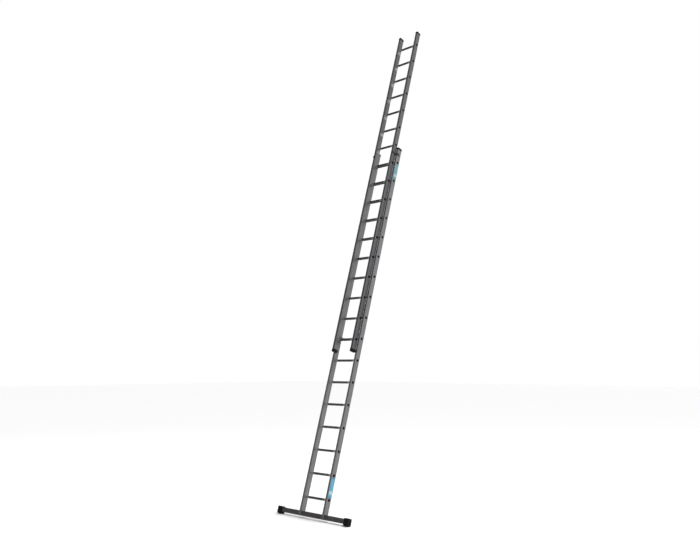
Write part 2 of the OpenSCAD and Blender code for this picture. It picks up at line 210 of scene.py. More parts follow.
class Bench:
    """Edit-mode work that every maker of a piece shares."""

    @staticmethod
    def clear() -> None:
        """Leaves edit mode with nothing selected."""
        if bpy.context.mode != "OBJECT":
            bpy.ops.object.mode_set(mode="OBJECT")
        bpy.ops.object.select_all(action="DESELECT")

    @staticmethod
    def take(piece: Piece) -> None:
        """Makes one piece the only one selected."""
        Bench.clear()
        piece.select_set(True)
        bpy.context.view_layer.objects.active = piece

    @staticmethod
    def discard(piece: Piece) -> None:
        """Deletes a pattern that has been used up."""
        Bench.take(piece)
        bpy.ops.object.delete()

    @staticmethod
    def edit(piece: Piece) -> None:
        """Opens one piece in edit mode with all of it selected."""
        Bench.take(piece)
        bpy.ops.object.mode_set(mode="EDIT")
        bpy.ops.mesh.select_all(action="SELECT")

    @staticmethod
    def pick(piece: Piece, kind: str, test: Callable[[Vector, Vector], bool]) -> None:
        """Selects parts of the piece in edit mode by their place and direction.

        Args:
            piece: The piece that is open in edit mode.
            kind: "FACE" or "VERT".
            test: Takes a part's middle in millimetres and its unit normal.
        """
        bpy.ops.mesh.select_mode(type=kind)
        bpy.ops.mesh.select_all(action="DESELECT")
        mesh = bmesh.from_edit_mesh(piece.data)
        for part in mesh.faces if kind == "FACE" else mesh.verts:
            spot = part.calc_center_median() if kind == "FACE" else part.co
            if test(spot / MM, part.normal):
                part.select_set(True)
        bmesh.update_edit_mesh(piece.data)

    @staticmethod
    def extrude(*move: float) -> None:
        """Extrudes what is selected by a move in millimetres."""
        bpy.ops.mesh.extrude_region_move(TRANSFORM_OT_translate={"value": Vector(move) * MM})

    @staticmethod
    def sink(depth: float) -> None:
        """Extrudes the selected faces inwards along their normals."""
        bpy.ops.mesh.extrude_region_shrink_fatten(TRANSFORM_OT_shrink_fatten={"value": -depth * MM})

    @staticmethod
    def cut(spot: tuple[float, ...], normal: tuple[int, ...]) -> None:
        """Cuts what is selected along a plane through a spot in millimetres."""
        bpy.ops.mesh.bisect(plane_co=Vector(spot) * MM, plane_no=normal)

    @staticmethod
    def cut_level(*levels: float) -> None:
        """Cuts the whole open piece at heights in millimetres."""
        for level in levels:
            bpy.ops.mesh.select_all(action="SELECT")
            Bench.cut((0, 0, level), (0, 0, 1))

    @staticmethod
    def chain(points: Sequence[Vector]) -> Piece:
        """Draws a chain of edges by extruding one vertex from point to point, and stays in edit mode."""
        Bench.clear()
        bpy.ops.mesh.primitive_plane_add(size=MM)
        piece = bpy.context.active_object
        bpy.ops.object.mode_set(mode="EDIT")
        bpy.ops.mesh.select_mode(type="VERT")
        bpy.ops.mesh.select_all(action="SELECT")
        bpy.ops.mesh.merge(type="CENTER")
        bpy.ops.transform.translate(value=points[0])
        for start, end in pairwise(points):
            bpy.ops.mesh.extrude_region_move(TRANSFORM_OT_translate={"value": end - start})
        bpy.ops.mesh.select_all(action="SELECT")
        return piece

    @staticmethod
    def slab(outline: Sequence[Flat], plane: Plane, low: float, high: float) -> Piece:
        """Raises an outline into a solid.

        Args:
            outline: The closed outline, in millimetres.
            plane: The plane it is drawn in.
            low: Level of the outline.
            high: Level that it is raised to.

        Returns:
            The solid, in object mode.
        """
        piece = Bench.chain([plane.at(spot, low) for spot in outline])
        bpy.ops.mesh.edge_face_add()
        Bench.extrude(*(plane.normal() * (high - low)))
        Bench.tidy()
        return piece

    @staticmethod
    def turned(profile: Sequence[Flat], axis: Axis, steps: int = 28) -> Piece:
        """Turns a profile about an axis through the origin.

        Args:
            profile: Points as (distance along the axis, radius), in millimetres. A ring's profile
                ends where it starts, and a solid's starts and ends on the axis.
            axis: The axis.
            steps: Facets round it.

        Returns:
            The turned solid, in object mode.
        """
        piece = Bench.chain([axis.at(along, radius) for along, radius in profile])
        bpy.ops.mesh.spin(steps=steps, angle=2 * math.pi, center=(0, 0, 0), axis=axis.value)
        Bench.tidy()
        return piece

    @staticmethod
    def tidy() -> None:
        """Closes seams and poles, turns all faces outwards and leaves edit mode."""
        bpy.ops.mesh.select_all(action="SELECT")
        bpy.ops.mesh.remove_doubles(threshold=MERGE * MM)
        bpy.ops.mesh.normals_make_consistent(inside=False)
        bpy.ops.object.mode_set(mode="OBJECT")

    @staticmethod
    def soften(piece: Piece, width: float, segments: int = 2, angle: float = 50) -> None:
        """Rounds the sharp edges of a piece.

        Args:
            piece: The piece.
            width: Width of the rounding, in millimetres.
            segments: Facets across it.
            angle: Sharpest turn that is left alone, in degrees.
        """
        Bench.take(piece)
        rounding = piece.modifiers.new("soften", "BEVEL")
        rounding.width = width * MM
        rounding.segments = segments
        rounding.limit_method = "ANGLE"
        rounding.angle_limit = math.radians(angle)
        bpy.ops.object.modifier_apply(modifier=rounding.name)

    @staticmethod
    def common(piece: Piece, other: Piece) -> None:
        """Keeps only what a piece shares with another, which is used up."""
        Bench.take(piece)
        shared = piece.modifiers.new("common", "BOOLEAN")
        shared.operation = "INTERSECT"
        shared.object = other
        shared.solver = "EXACT"
        bpy.ops.object.modifier_apply(modifier=shared.name)
        Bench.discard(other)

    @staticmethod
    def copy(piece: Piece, place: Matrix) -> Piece:
        """A copy of a piece with its own mesh, moved by a matrix that is worked into the mesh."""
        Bench.clear()
        twin = piece.copy()
        twin.data = piece.data.copy()
        bpy.context.collection.objects.link(twin)
        return Bench.set_down(twin, place)

    @staticmethod
    def set_down(piece: Piece, place: Matrix) -> Piece:
        """Works a placing matrix into a piece's mesh, and turns mirrored faces the right way round."""
        Bench.take(piece)
        piece.matrix_basis = place @ piece.matrix_basis
        bpy.ops.object.transform_apply(location=True, rotation=True, scale=True)
        if place.determinant() < 0:
            Bench.edit(piece)
            Bench.tidy()
        return piece

    @staticmethod
    def join(pieces: Sequence[Piece]) -> Piece:
        """Joins pieces into the first one."""
        Bench.clear()
        for piece in pieces:
            piece.select_set(True)
        bpy.context.view_layer.objects.active = pieces[0]
        if len(pieces) > 1:
            bpy.ops.object.join()
        return pieces[0]

    @staticmethod
    def pair(right: Piece) -> Piece:
        """Joins a right-hand piece with its mirror image."""
        return Bench.join([right, Bench.copy(right, MIRROR)])


@dataclass(frozen=True)
class LadderFrame:
    """Where the ladder's own frame stands in the row frame."""

    lean: float
    foot_height: float

    @classmethod
    def from_cad(cls, record: dict, bar_middle: float = 13.0) -> LadderFrame:
        """Reads the lean from the slide's axis and the height from the stabiliser bar.

        Args:
            record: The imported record.
            bar_middle: Height of the bar's middle above the stiles' lower ends, along them.

        Returns:
            The ladder's frame.
        """
        axis = next(j["axis"] for j in record["behaviour"]["joints"] if j["type"] == "slide")
        lean = math.atan2(axis[1], axis[2])
        low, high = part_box("stabiliser_bar")
        middle = (low[2] + high[2]) / 2
        return cls(lean, middle - bar_middle * MM * math.cos(lean))

    def matrix(self) -> Matrix:
        """From the ladder's frame to the row frame."""
        return Matrix.Translation((0, 0, self.foot_height)) @ Matrix.Rotation(-self.lean, 4, "X")


# ---- materials ----

METAL_DUST = (0.42, 0.40, 0.37)
MOULDED_DUST = (0.30, 0.28, 0.25)
VINYL_SCUFF = (0.30, 0.36, 0.38)


def scaled(colour: Colour, factor: float) -> Colour:
    """A colour made lighter or darker."""
    return tuple(factor * part for part in colour)


class Graph:
    """A node tree with short ways to add nodes and join them."""

    def __init__(self, tree: bpy.types.NodeTree) -> None:
        """Takes the tree to work in."""
        self.tree = tree

    def feed(self, socket: Socket, value: object) -> None:
        """Links an output to a socket, or sets its value. A colour of three parts is made opaque."""
        if isinstance(value, Socket):
            self.tree.links.new(value, socket)
        elif socket.type == "RGBA":
            socket.default_value = (*value, 1.0)
        else:
            socket.default_value = value

    def add(self, kind: str, inputs: dict | None = None, **settings: object) -> bpy.types.Node:
        """Adds a node.

        Args:
            kind: The node's type name without its "ShaderNode" prefix.
            inputs: Values or output sockets by the input's name or index.
            settings: Attributes of the node.

        Returns:
            The node.
        """
        node = self.tree.nodes.new("ShaderNode" + kind)
        for name, value in settings.items():
            setattr(node, name, value)
        for name, value in (inputs or {}).items():
            self.feed(node.inputs[name], value)
        return node

    def maths(self, operation: str, *values: object, clamp: bool = True) -> Socket:
        """The result of one arithmetic step, kept between 0 and 1 unless clamp is off."""
        inputs = dict(enumerate(values))
        return self.add("Math", inputs, operation=operation, use_clamp=clamp).outputs[0]

    def times(self, *values: object) -> Socket:
        """The product of masks and shares."""
        return reduce(lambda first, second: self.maths("MULTIPLY", first, second), values)

    def noise(self, vector: object, scale: object, detail: float = 4.0, rough: float = 0.5) -> Socket:
        """Cloudy noise at a scale per metre."""
        inputs = {"Vector": vector, "Scale": scale, "Detail": detail, "Roughness": rough}
        return self.add("TexNoise", inputs).outputs[0]

    def steps(
        self, value: object, low: float, high: float, to_low: object = 0.0, to_high: object = 1.0
    ) -> Socket:
        """Spreads the span from low to high over the span from to_low to to_high."""
        inputs = {"Value": value, "From Min": low, "From Max": high, "To Min": to_low, "To Max": to_high}
        return self.add("MapRange", inputs).outputs[0]

    def blend(self, share: object, first: object, second: object) -> Socket:
        """A colour between two others."""
        node = self.add("Mix", {0: share, 6: first, 7: second}, data_type="RGBA")
        return node.outputs[2]

    def parts(self, vector: Socket) -> Sequence[Socket]:
        """A vector's three parts."""
        return self.add("SeparateXYZ", {0: vector}).outputs


class Effect(Enum):
    """Surface effects that more than one finish uses, with their inputs. Each is one node group."""

    DRAWN_LINES = ("drawn_lines", {"Vector": None, "Fine": 2400.0, "Broad": 220.0})
    HANDLING_MARKS = ("handling_marks", {"Vector": None, "Patch": 7.0, "Scratch": 160.0, "Amount": 0.5})
    SETTLED_DUST = ("settled_dust", {"Vector": None, "Facing": 0.0, "Amount": 0.3})
    MOULDED_GRAIN = ("moulded_grain", {"Vector": None, "Grain": 900.0, "Cloud": 18.0})

    def group(self) -> bpy.types.NodeTree:
        """The effect's node group, built the first time it is asked for."""
        title, inputs = self.value
        tree = bpy.data.node_groups.get(title)
        if tree is None:
            tree = bpy.data.node_groups.new(title, "ShaderNodeTree")
            for name, value in inputs.items():
                kind = "NodeSocketVector" if value is None else "NodeSocketFloat"
                socket = tree.interface.new_socket(name=name, in_out="INPUT", socket_type=kind)
                if value is not None:
                    socket.default_value = value
            start = tree.nodes.new("NodeGroupInput").outputs
            results = getattr(self, "_" + title)(Graph(tree), start)
            for name in results:
                tree.interface.new_socket(name=name, in_out="OUTPUT", socket_type="NodeSocketFloat")
            end = tree.nodes.new("NodeGroupOutput")
            for name, result in results.items():
                tree.links.new(result, end.inputs[name])
        return tree

    def place(self, graph: Graph, vector: Socket, **inputs: object) -> Sequence[Socket]:
        """Places the effect in a material with its own values, and gives its outputs."""
        return graph.add("Group", {"Vector": vector} | inputs, node_tree=self.group()).outputs

    @staticmethod
    def _drawn_lines(graph: Graph, start: Sequence[Socket]) -> dict[str, Socket]:
        """Fine lines that a die or a brush leaves along a piece, with broader streaks under them."""
        fine = graph.noise(start["Vector"], start["Fine"], 3.0, 0.6)
        broad = graph.noise(start["Vector"], start["Broad"], 4.0, 0.55)
        streaks = graph.steps(broad, 0.32, 0.68)
        lines = graph.steps(fine, 0.3, 0.7)
        height = graph.maths("ADD", graph.times(lines, 0.6), graph.times(streaks, 0.4))
        return {"Lines": lines, "Streaks": streaks, "Height": height}

    @staticmethod
    def _handling_marks(graph: Graph, start: Sequence[Socket]) -> dict[str, Socket]:
        """Patches of scuffs and rubbed spots."""
        patch = graph.steps(graph.noise(start["Vector"], start["Patch"], 5.0, 0.6), 0.42, 0.68)
        scratch = graph.steps(graph.noise(start["Vector"], start["Scratch"], 8.0, 0.75), 0.48, 0.66)
        return {"Mask": graph.times(patch, scratch, start["Amount"])}

    @staticmethod
    def _settled_dust(graph: Graph, start: Sequence[Socket]) -> dict[str, Socket]:
        """Dust on what faces up, thinner where it is rubbed off."""
        up = graph.steps(start["Facing"], 0.25, 0.95)
        cloud = graph.steps(graph.noise(start["Vector"], 38.0, 6.0, 0.65), 0.3, 0.75)
        return {"Mask": graph.times(up, cloud, start["Amount"])}

    @staticmethod
    def _moulded_grain(graph: Graph, start: Sequence[Socket]) -> dict[str, Socket]:
        """The leathery grain of a moulding, and slow changes of shade across it."""
        cells = graph.add("TexVoronoi", {"Vector": start["Vector"], "Scale": start["Grain"]}).outputs[0]
        cloud = graph.noise(start["Vector"], start["Cloud"], 5.0)
        return {"Height": graph.steps(cells, 0.05, 0.75), "Mottle": graph.steps(cloud, 0.3, 0.7)}


class Run(Enum):
    """Which way a metal's drawn lines run, as the ladder-frame scale of their pattern."""

    ALONG_STILES = (1.0, 1.0, 0.012)
    ALONG_RUNGS = (0.012, 1.0, 1.0)
    ROLLED = (0.25, 1.0, 1.0)


@dataclass(frozen=True)
class Finish:
    """What every finish has: its name, and the start and end of its node tree."""

    name: str

    def build(self, frame: LadderFrame) -> bpy.types.Material:
        """Makes the material.

        Args:
            frame: The ladder's frame, which patterns follow.

        Returns:
            The material.
        """
        material = bpy.data.materials.new(self.name)
        material.use_nodes = True
        material.node_tree.nodes.clear()
        graph = Graph(material.node_tree)
        spot = graph.add("TexCoord").outputs["Object"]
        inputs = {"Vector": spot, "Location": (0, 0, frame.foot_height), "Rotation": (-frame.lean, 0, 0)}
        place = graph.add("Mapping", inputs, vector_type="TEXTURE").outputs[0]
        shader = graph.add("BsdfPrincipled", self.surface(graph, place))
        graph.add("OutputMaterial", {"Surface": shader.outputs[0]})
        return material

    def surface(self, graph: Graph, place: Socket) -> dict[str, object]:
        """The shader's inputs, from ladder-frame coordinates in metres."""
        raise NotImplementedError

    @staticmethod
    def settled_dust(graph: Graph, place: Socket, amount: float) -> Socket:
        """Mask of the dust on what faces up."""
        facing = graph.parts(graph.add("NewGeometry").outputs["Normal"])[2]
        return Effect.SETTLED_DUST.place(graph, place, Facing=facing, Amount=amount)[0]

    @staticmethod
    def bumped(graph: Graph, height: Socket, distance: float, strength: float) -> Socket:
        """The normal of a surface with a height in metres drawn on it."""
        inputs = {"Height": height, "Distance": distance, "Strength": strength}
        return graph.add("Bump", inputs).outputs[0]


@dataclass(frozen=True)
class Rub:
    """Where painted highlights and painted light brighten a stile's inner face, in millimetres."""

    inner: float = 135.5
    first_rung: float = 2136.6
    pitch: float = 280.0
    even_to: float = 4700.0
    spots_from: float = 5100.0
    spot_foot: Flat = (80.0, 60.0)
    spot_head: Flat = (14.0, 20.0)
    skin: Flat = (0.6, 0.2)
    even_share: float = 0.3
    shade: float = 2.4

    def mask(self, graph: Graph, place: Socket) -> Socket:
        """Mask of the painted light: painted highlight spots below the upper rungs, and an even painted
        brightening lower down.

        Args:
            graph: The material's graph.
            place: Ladder-frame coordinates in metres.

        Returns:
            The mask.
        """
        x, _, z = graph.parts(place)
        pitch, change = self.pitch * MM, (self.even_to * MM, self.spots_from * MM)
        from_rung = graph.maths("SUBTRACT", z, self.first_rung * MM, clamp=False)
        below = graph.maths("WRAP", from_rung, pitch, 0.0, clamp=False)
        foot, head = ([pitch - reach * MM for reach in ramp] for ramp in (self.spot_foot, self.spot_head))
        band = graph.times(graph.steps(below, *foot), graph.steps(below, *head))
        skin = [(self.inner + reach) * MM for reach in self.skin]
        side = graph.steps(graph.maths("ABSOLUTE", x), *skin)
        ragged = graph.steps(graph.noise(place, 32.0), 0.3, 0.5, 0.4, 0.9)
        # Painted highlights in spots under the upper rungs, and painted light evenly lower down.
        spots = graph.times(band, ragged, graph.steps(z, *change))
        even = graph.steps(z, *change[::-1], 0.0, self.even_share)
        return graph.times(graph.maths("ADD", spots, even), side)


@dataclass(frozen=True)
class RungWear:
    """Where a rung is polished, and where painted light and painted shade lie near its ends, as distances
    from its middle in millimetres.
    """

    clean_from: float
    clean_to: float
    stile: float
    fade: float = 2.0
    polished: Flat = (130.0, 50.0)
    polish: float = 0.15
    polish_shade: float = 1.5
    clean_shade: float = 3.2
    grime_shade: float = 0.12

    def over(self, graph: Graph, place: Socket, colour: Socket, metal: Metal) -> Socket:
        """The rung's colour with its polish, painted light and painted shade over it.

        Args:
            graph: The material's graph.
            place: Ladder-frame coordinates in metres.
            colour: The colour so far.
            metal: The metal under it.

        Returns:
            The colour.
        """
        across = graph.maths("ABSOLUTE", graph.parts(place)[0])
        worn = graph.steps(graph.noise(place, 60.0, 6.0), 0.35, 0.7)
        near = graph.steps(across, *(reach * MM for reach in self.polished))
        polished = graph.times(near, worn, self.polish)
        colour = graph.blend(polished, colour, scaled(metal.bright, self.polish_shade))
        # Painted light brightens each end of the rung next to the stiles, against the shading there.
        ragged = graph.steps(graph.noise(place, 30.0), 0.2, 0.5, 0.6, 1.0)
        end_light = graph.times(graph.steps(across, self.clean_from * MM, self.clean_to * MM), ragged)
        colour = graph.blend(end_light, colour, scaled(metal.bright, self.clean_shade))
        # Painted shade darkens the rung from the stile's inner face outwards, over its flared, hollow end.
        end_shade = graph.steps(across, self.stile * MM, (self.stile + self.fade) * MM)
        return graph.blend(end_shade, colour, scaled(metal.dull, self.grime_shade))


@dataclass(frozen=True)
class Metal(Finish):
    """Drawn, rolled or plated metal."""

    dull: Colour
    bright: Colour
    run: Run = Run.ALONG_STILES
    metallic: float = 0.85
    smooth: float = 0.34
    rough: float = 0.52
    bump: float = 0.00006
    marks: float = 0.5
    dust: float = 0.25
    fine: float = 2400.0
    line_share: float = 0.35
    mark_shade: float = 0.45
    wear: RungWear | None = None
    rub: Rub | None = None
    wear_roughness: float = 0.3

    def surface(self, graph: Graph, place: Socket) -> dict[str, object]:
        """The shader's inputs, with the drawn lines along the metal's run."""
        along = graph.add("Mapping", {"Vector": place, "Scale": self.run.value}).outputs[0]
        lines = Effect.DRAWN_LINES.place(graph, along, Fine=self.fine)
        marks = Effect.HANDLING_MARKS.place(graph, place, Amount=self.marks)[0]
        dust = self.settled_dust(graph, place, self.dust)
        streaks = graph.times(lines["Streaks"], 1 - self.line_share)
        shade = graph.maths("ADD", graph.times(lines["Lines"], self.line_share), streaks)
        colour = graph.blend(shade, self.dull, self.bright)
        colour = graph.blend(marks, colour, scaled(self.dull, self.mark_shade))
        if self.wear:
            # Rung polish, painted light near the rung ends and painted shade inside the stiles.
            colour = self.wear.over(graph, place, colour, self)
        if self.rub:
            # Painted highlights and painted light brighten the stile's inner faces.
            colour = graph.blend(self.rub.mask(graph, place), colour, scaled(self.bright, self.rub.shade))
        worn = graph.times(graph.maths("ADD", marks, dust), self.wear_roughness)
        return {
            "Base Color": graph.blend(dust, colour, METAL_DUST),
            "Metallic": self.metallic,
            "Roughness": graph.maths("ADD", graph.steps(shade, 0.0, 1.0, self.rough, self.smooth), worn),
            "Normal": self.bumped(graph, lines["Height"], self.bump, 0.6),
        }


@dataclass(frozen=True)
class Moulded(Finish):
    """Moulded plastic or rubber."""

    deep: Colour
    worn: Colour
    smooth: float = 0.42
    rough: float = 0.62
    bump: float = 0.00012
    dust: float = 0.35
    marks: float = 0.6
    grain: float = 900.0
    shine: float = 0.18
    mottle: float = 0.5
    mark_shade: float = 1.6
    dust_roughness: float = 0.4

    def surface(self, graph: Graph, place: Socket) -> dict[str, object]:
        """The shader's inputs, with grain all over and scuffs in places."""
        grain = Effect.MOULDED_GRAIN.place(graph, place, Grain=self.grain)
        marks = Effect.HANDLING_MARKS.place(graph, place, Patch=24.0, Scratch=260.0, Amount=self.marks)[0]
        dust = self.settled_dust(graph, place, self.dust)
        colour = graph.blend(graph.times(grain["Mottle"], self.mottle), self.deep, self.worn)
        colour = graph.blend(marks, colour, scaled(self.worn, self.mark_shade))
        roughness = graph.steps(grain["Mottle"], 0.0, 1.0, self.smooth, self.rough)
        return {
            "Base Color": graph.blend(dust, colour, MOULDED_DUST),
            "Roughness": graph.maths("ADD", roughness, graph.times(dust, self.dust_roughness)),
            "Specular IOR Level": self.shine,
            "Normal": self.bumped(graph, grain["Height"], self.bump, 0.5),
        }


@dataclass(frozen=True)
class Vinyl(Finish):
    """Printed vinyl film with plain colour bands and no lettering."""

    ground: Colour
    band: Colour
    middle: float
    patch: float
    panel: Colour
    half_length: float = 115.0
    head: Flat = (0.80, 0.81)
    foot: Flat = (-0.84, -0.85)
    patch_edge: Flat = (0.17, 0.16)
    patch_side: Flat = (0.0225, 0.022)
    fade: float = 0.18
    fade_shade: float = 1.5

    def surface(self, graph: Graph, place: Socket) -> dict[str, object]:
        """The shader's inputs, with a band at each end and a paler panel."""
        _, y, z = graph.parts(place)
        height = graph.maths("SUBTRACT", z, self.middle * MM, clamp=False)
        half = self.half_length * MM
        low = [half * (self.patch - edge) for edge in self.patch_edge]
        high = [half * (self.patch + edge) for edge in self.patch_edge]
        top, foot, above, under = (
            graph.steps(height, *ramp)
            for ramp in ([half * s for s in self.head], [half * s for s in self.foot], low, high)
        )
        inside = graph.steps(graph.maths("ABSOLUTE", y), *self.patch_side)
        colour = graph.blend(graph.maths("MAXIMUM", top, foot), self.ground, self.band)
        colour = graph.blend(graph.times(above, under, inside), colour, self.panel)
        marks = Effect.HANDLING_MARKS.place(graph, place, Patch=30.0, Scratch=300.0, Amount=0.6)[0]
        colour = graph.blend(marks, colour, VINYL_SCUFF)
        faded = graph.steps(graph.noise(place, 14.0), 0.3, 0.75, 0.0, self.fade)
        return {
            "Base Color": graph.blend(faded, colour, scaled(self.ground, self.fade_shade)),
            "Roughness": graph.steps(marks, 0.0, 1.0, 0.32, 0.6),
            "Normal": self.bumped(graph, graph.noise(place, 120.0), 0.00015, 0.3),
        }


def rung_metal(name: str, dull: float, bright: float, wear: RungWear, tint: float = 0.001) -> Metal:
    """A rung's grey metal, with a trace more blue than red."""
    colours = ((dull, dull, dull + tint), (bright, bright, bright + tint))
    return Metal(name, *colours, Run.ALONG_RUNGS, dust=0.06, wear=wear)


BASE_STILE = ((0.150, 0.146, 0.153), (0.224, 0.218, 0.228))
FLY_STILE = ((0.097, 0.095, 0.100), (0.147, 0.145, 0.151))
BAR = ((0.098, 0.090, 0.091), (0.158, 0.147, 0.149))
BRACKET = ((0.024, 0.024, 0.025), (0.050, 0.050, 0.051))
HOOK = ((0.14, 0.14, 0.145), (0.24, 0.24, 0.245))
ZINC = ((0.17, 0.175, 0.19), (0.29, 0.295, 0.31))
RIVET = ((0.22, 0.22, 0.23), (0.34, 0.34, 0.35))
CAP = ((0.002, 0.002, 0.0022), (0.006, 0.006, 0.006))
RUBBER = ((0.002, 0.002, 0.002), (0.006, 0.0058, 0.0055))
NYLON = ((0.42, 0.41, 0.38), (0.58, 0.57, 0.54))
LOW_BLUE = ((0.065, 0.25, 0.35), (0.028, 0.18, 0.27))
HIGH_BLUE = ((0.080, 0.20, 0.225), (0.035, 0.155, 0.18))

FINISHES: tuple[Finish, ...] = (
    Metal("base_stile_aluminium", *BASE_STILE),
    # The fly stiles carry painted highlights and painted light on their inner faces.
    Metal("fly_stile_aluminium", *FLY_STILE, rub=Rub()),
    # Rungs carry painted light near their ends and painted shade inside the stiles.
    rung_metal("base_rung_aluminium", 0.060, 0.105, RungWear(112.0, 142.0, 172.0)),
    rung_metal("fly_rung_aluminium", 0.046, 0.080, RungWear(78.0, 106.0, 136.5)),
    Metal("bar_aluminium", *BAR, Run.ALONG_RUNGS, marks=0.8),
    Metal("bracket_steel", *BRACKET, Run.ROLLED, marks=0.7),
    Metal("hook_steel", *HOOK, Run.ROLLED, marks=0.8),
    Metal("zinc_plate", *ZINC, Run.ROLLED, metallic=0.95, smooth=0.28, rough=0.46, fine=900.0),
    Metal("rivet_aluminium", *RIVET, Run.ROLLED, smooth=0.28, fine=900.0),
    Moulded("cap_plastic", *CAP, smooth=0.6, rough=0.78, dust=0.04, marks=0.25),
    Moulded("foot_rubber", *RUBBER, 0.7, 0.9, bump=0.0002, grain=600.0, dust=0.05, marks=0.25),
    Moulded("liner_nylon", *NYLON, smooth=0.35, rough=0.5, dust=0.2, marks=0.3, shine=0.5),
    Vinyl("low_label_vinyl", *LOW_BLUE, 346.0, -0.48, (0.36, 0.50, 0.53)),
    Vinyl("high_label_vinyl", *HIGH_BLUE, 4546.0, -0.5, (0.26, 0.37, 0.38)),
)


@dataclass(frozen=True)
class Tag:
    """What a piece is called, its CAD body, its material slot and its finish."""

    name: str
    body: str
    slot: str
    finish: str

    def on(self, side: Side) -> Tag:
        """The tag with the side's name in place of its braces."""
        return Tag(self.name.format(side.word), self.body.format(side.word), self.slot, self.finish)


@dataclass
class Workshop:
    """What the sub-assemblies share: the ladder's frame and the finishes."""

    frame: LadderFrame
    smooth_to: float = 32.0
    finishes: dict[str, bpy.types.Material] = field(default_factory=dict)

    def finish(self, name: str) -> bpy.types.Material:
        """The material of a finish, made the first time it is asked for."""
        if name not in self.finishes:
            maker = next(f for f in FINISHES if f.name == name)
            self.finishes[name] = maker.build(self.frame)
        return self.finishes[name]

    def dress(self, piece: Piece, finish: str) -> None:
        """Gives a piece or a CAD node its finish."""
        piece.data.materials.clear()
        piece.data.materials.append(self.finish(finish))

    def deliver(self, piece: Piece, tag: Tag, nodes: Sequence[str], leaned: bool = False) -> None:
        """Leans a piece into place, dresses it and puts it on its body.

        Args:
            piece: The finished shape.
            tag: What it is called and where it belongs.
            nodes: CAD nodes that it stands for.
            leaned: Whether the piece is already in the row frame.
        """
        Bench.set_down(piece, Matrix() if leaned else self.frame.matrix())
        Bench.take(piece)
        bpy.ops.object.shade_smooth_by_angle(angle=math.radians(self.smooth_to))
        piece.name = piece.data.name = tag.name
        self.dress(piece, tag.finish)
        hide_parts(*nodes)
        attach(piece, tag.body)
        LOG.info("%s on %s, %d faces", tag.name, tag.body, len(piece.data.polygons))

    def deliver_sides(self, right: Piece, tag: Tag, node: str, leaned: bool = False) -> None:
        """Delivers a right-hand pattern to both sides and uses it up.

        Args:
            right: The pattern.
            tag: What the pieces are called, with braces where the side's name comes.
            node: The CAD nodes' name, in the same way.
            leaned: Whether the pattern is already in the row frame.
        """
        for side in Side:
            piece = Bench.copy(right, side.matrix)
            self.deliver(piece, tag.on(side), [node.format(side.word)], leaned)
        Bench.discard(right)


# ---- the sub-assemblies ----


@dataclass
class Stiles:
    """The four box stiles, which keep their CAD shape with its grooves and rung holes."""

    shop: Workshop

    def build(self, nodes: dict[str, Piece]) -> None:
        """Dresses the stiles."""
        for section in ("base", "fly"):
            for side in Side:
                name = f"{section}_stile_{side.word}"
                self.shop.dress(nodes[name], f"{section}_stile_aluminium")
                LOG.info("%s keeps its CAD shape", name)


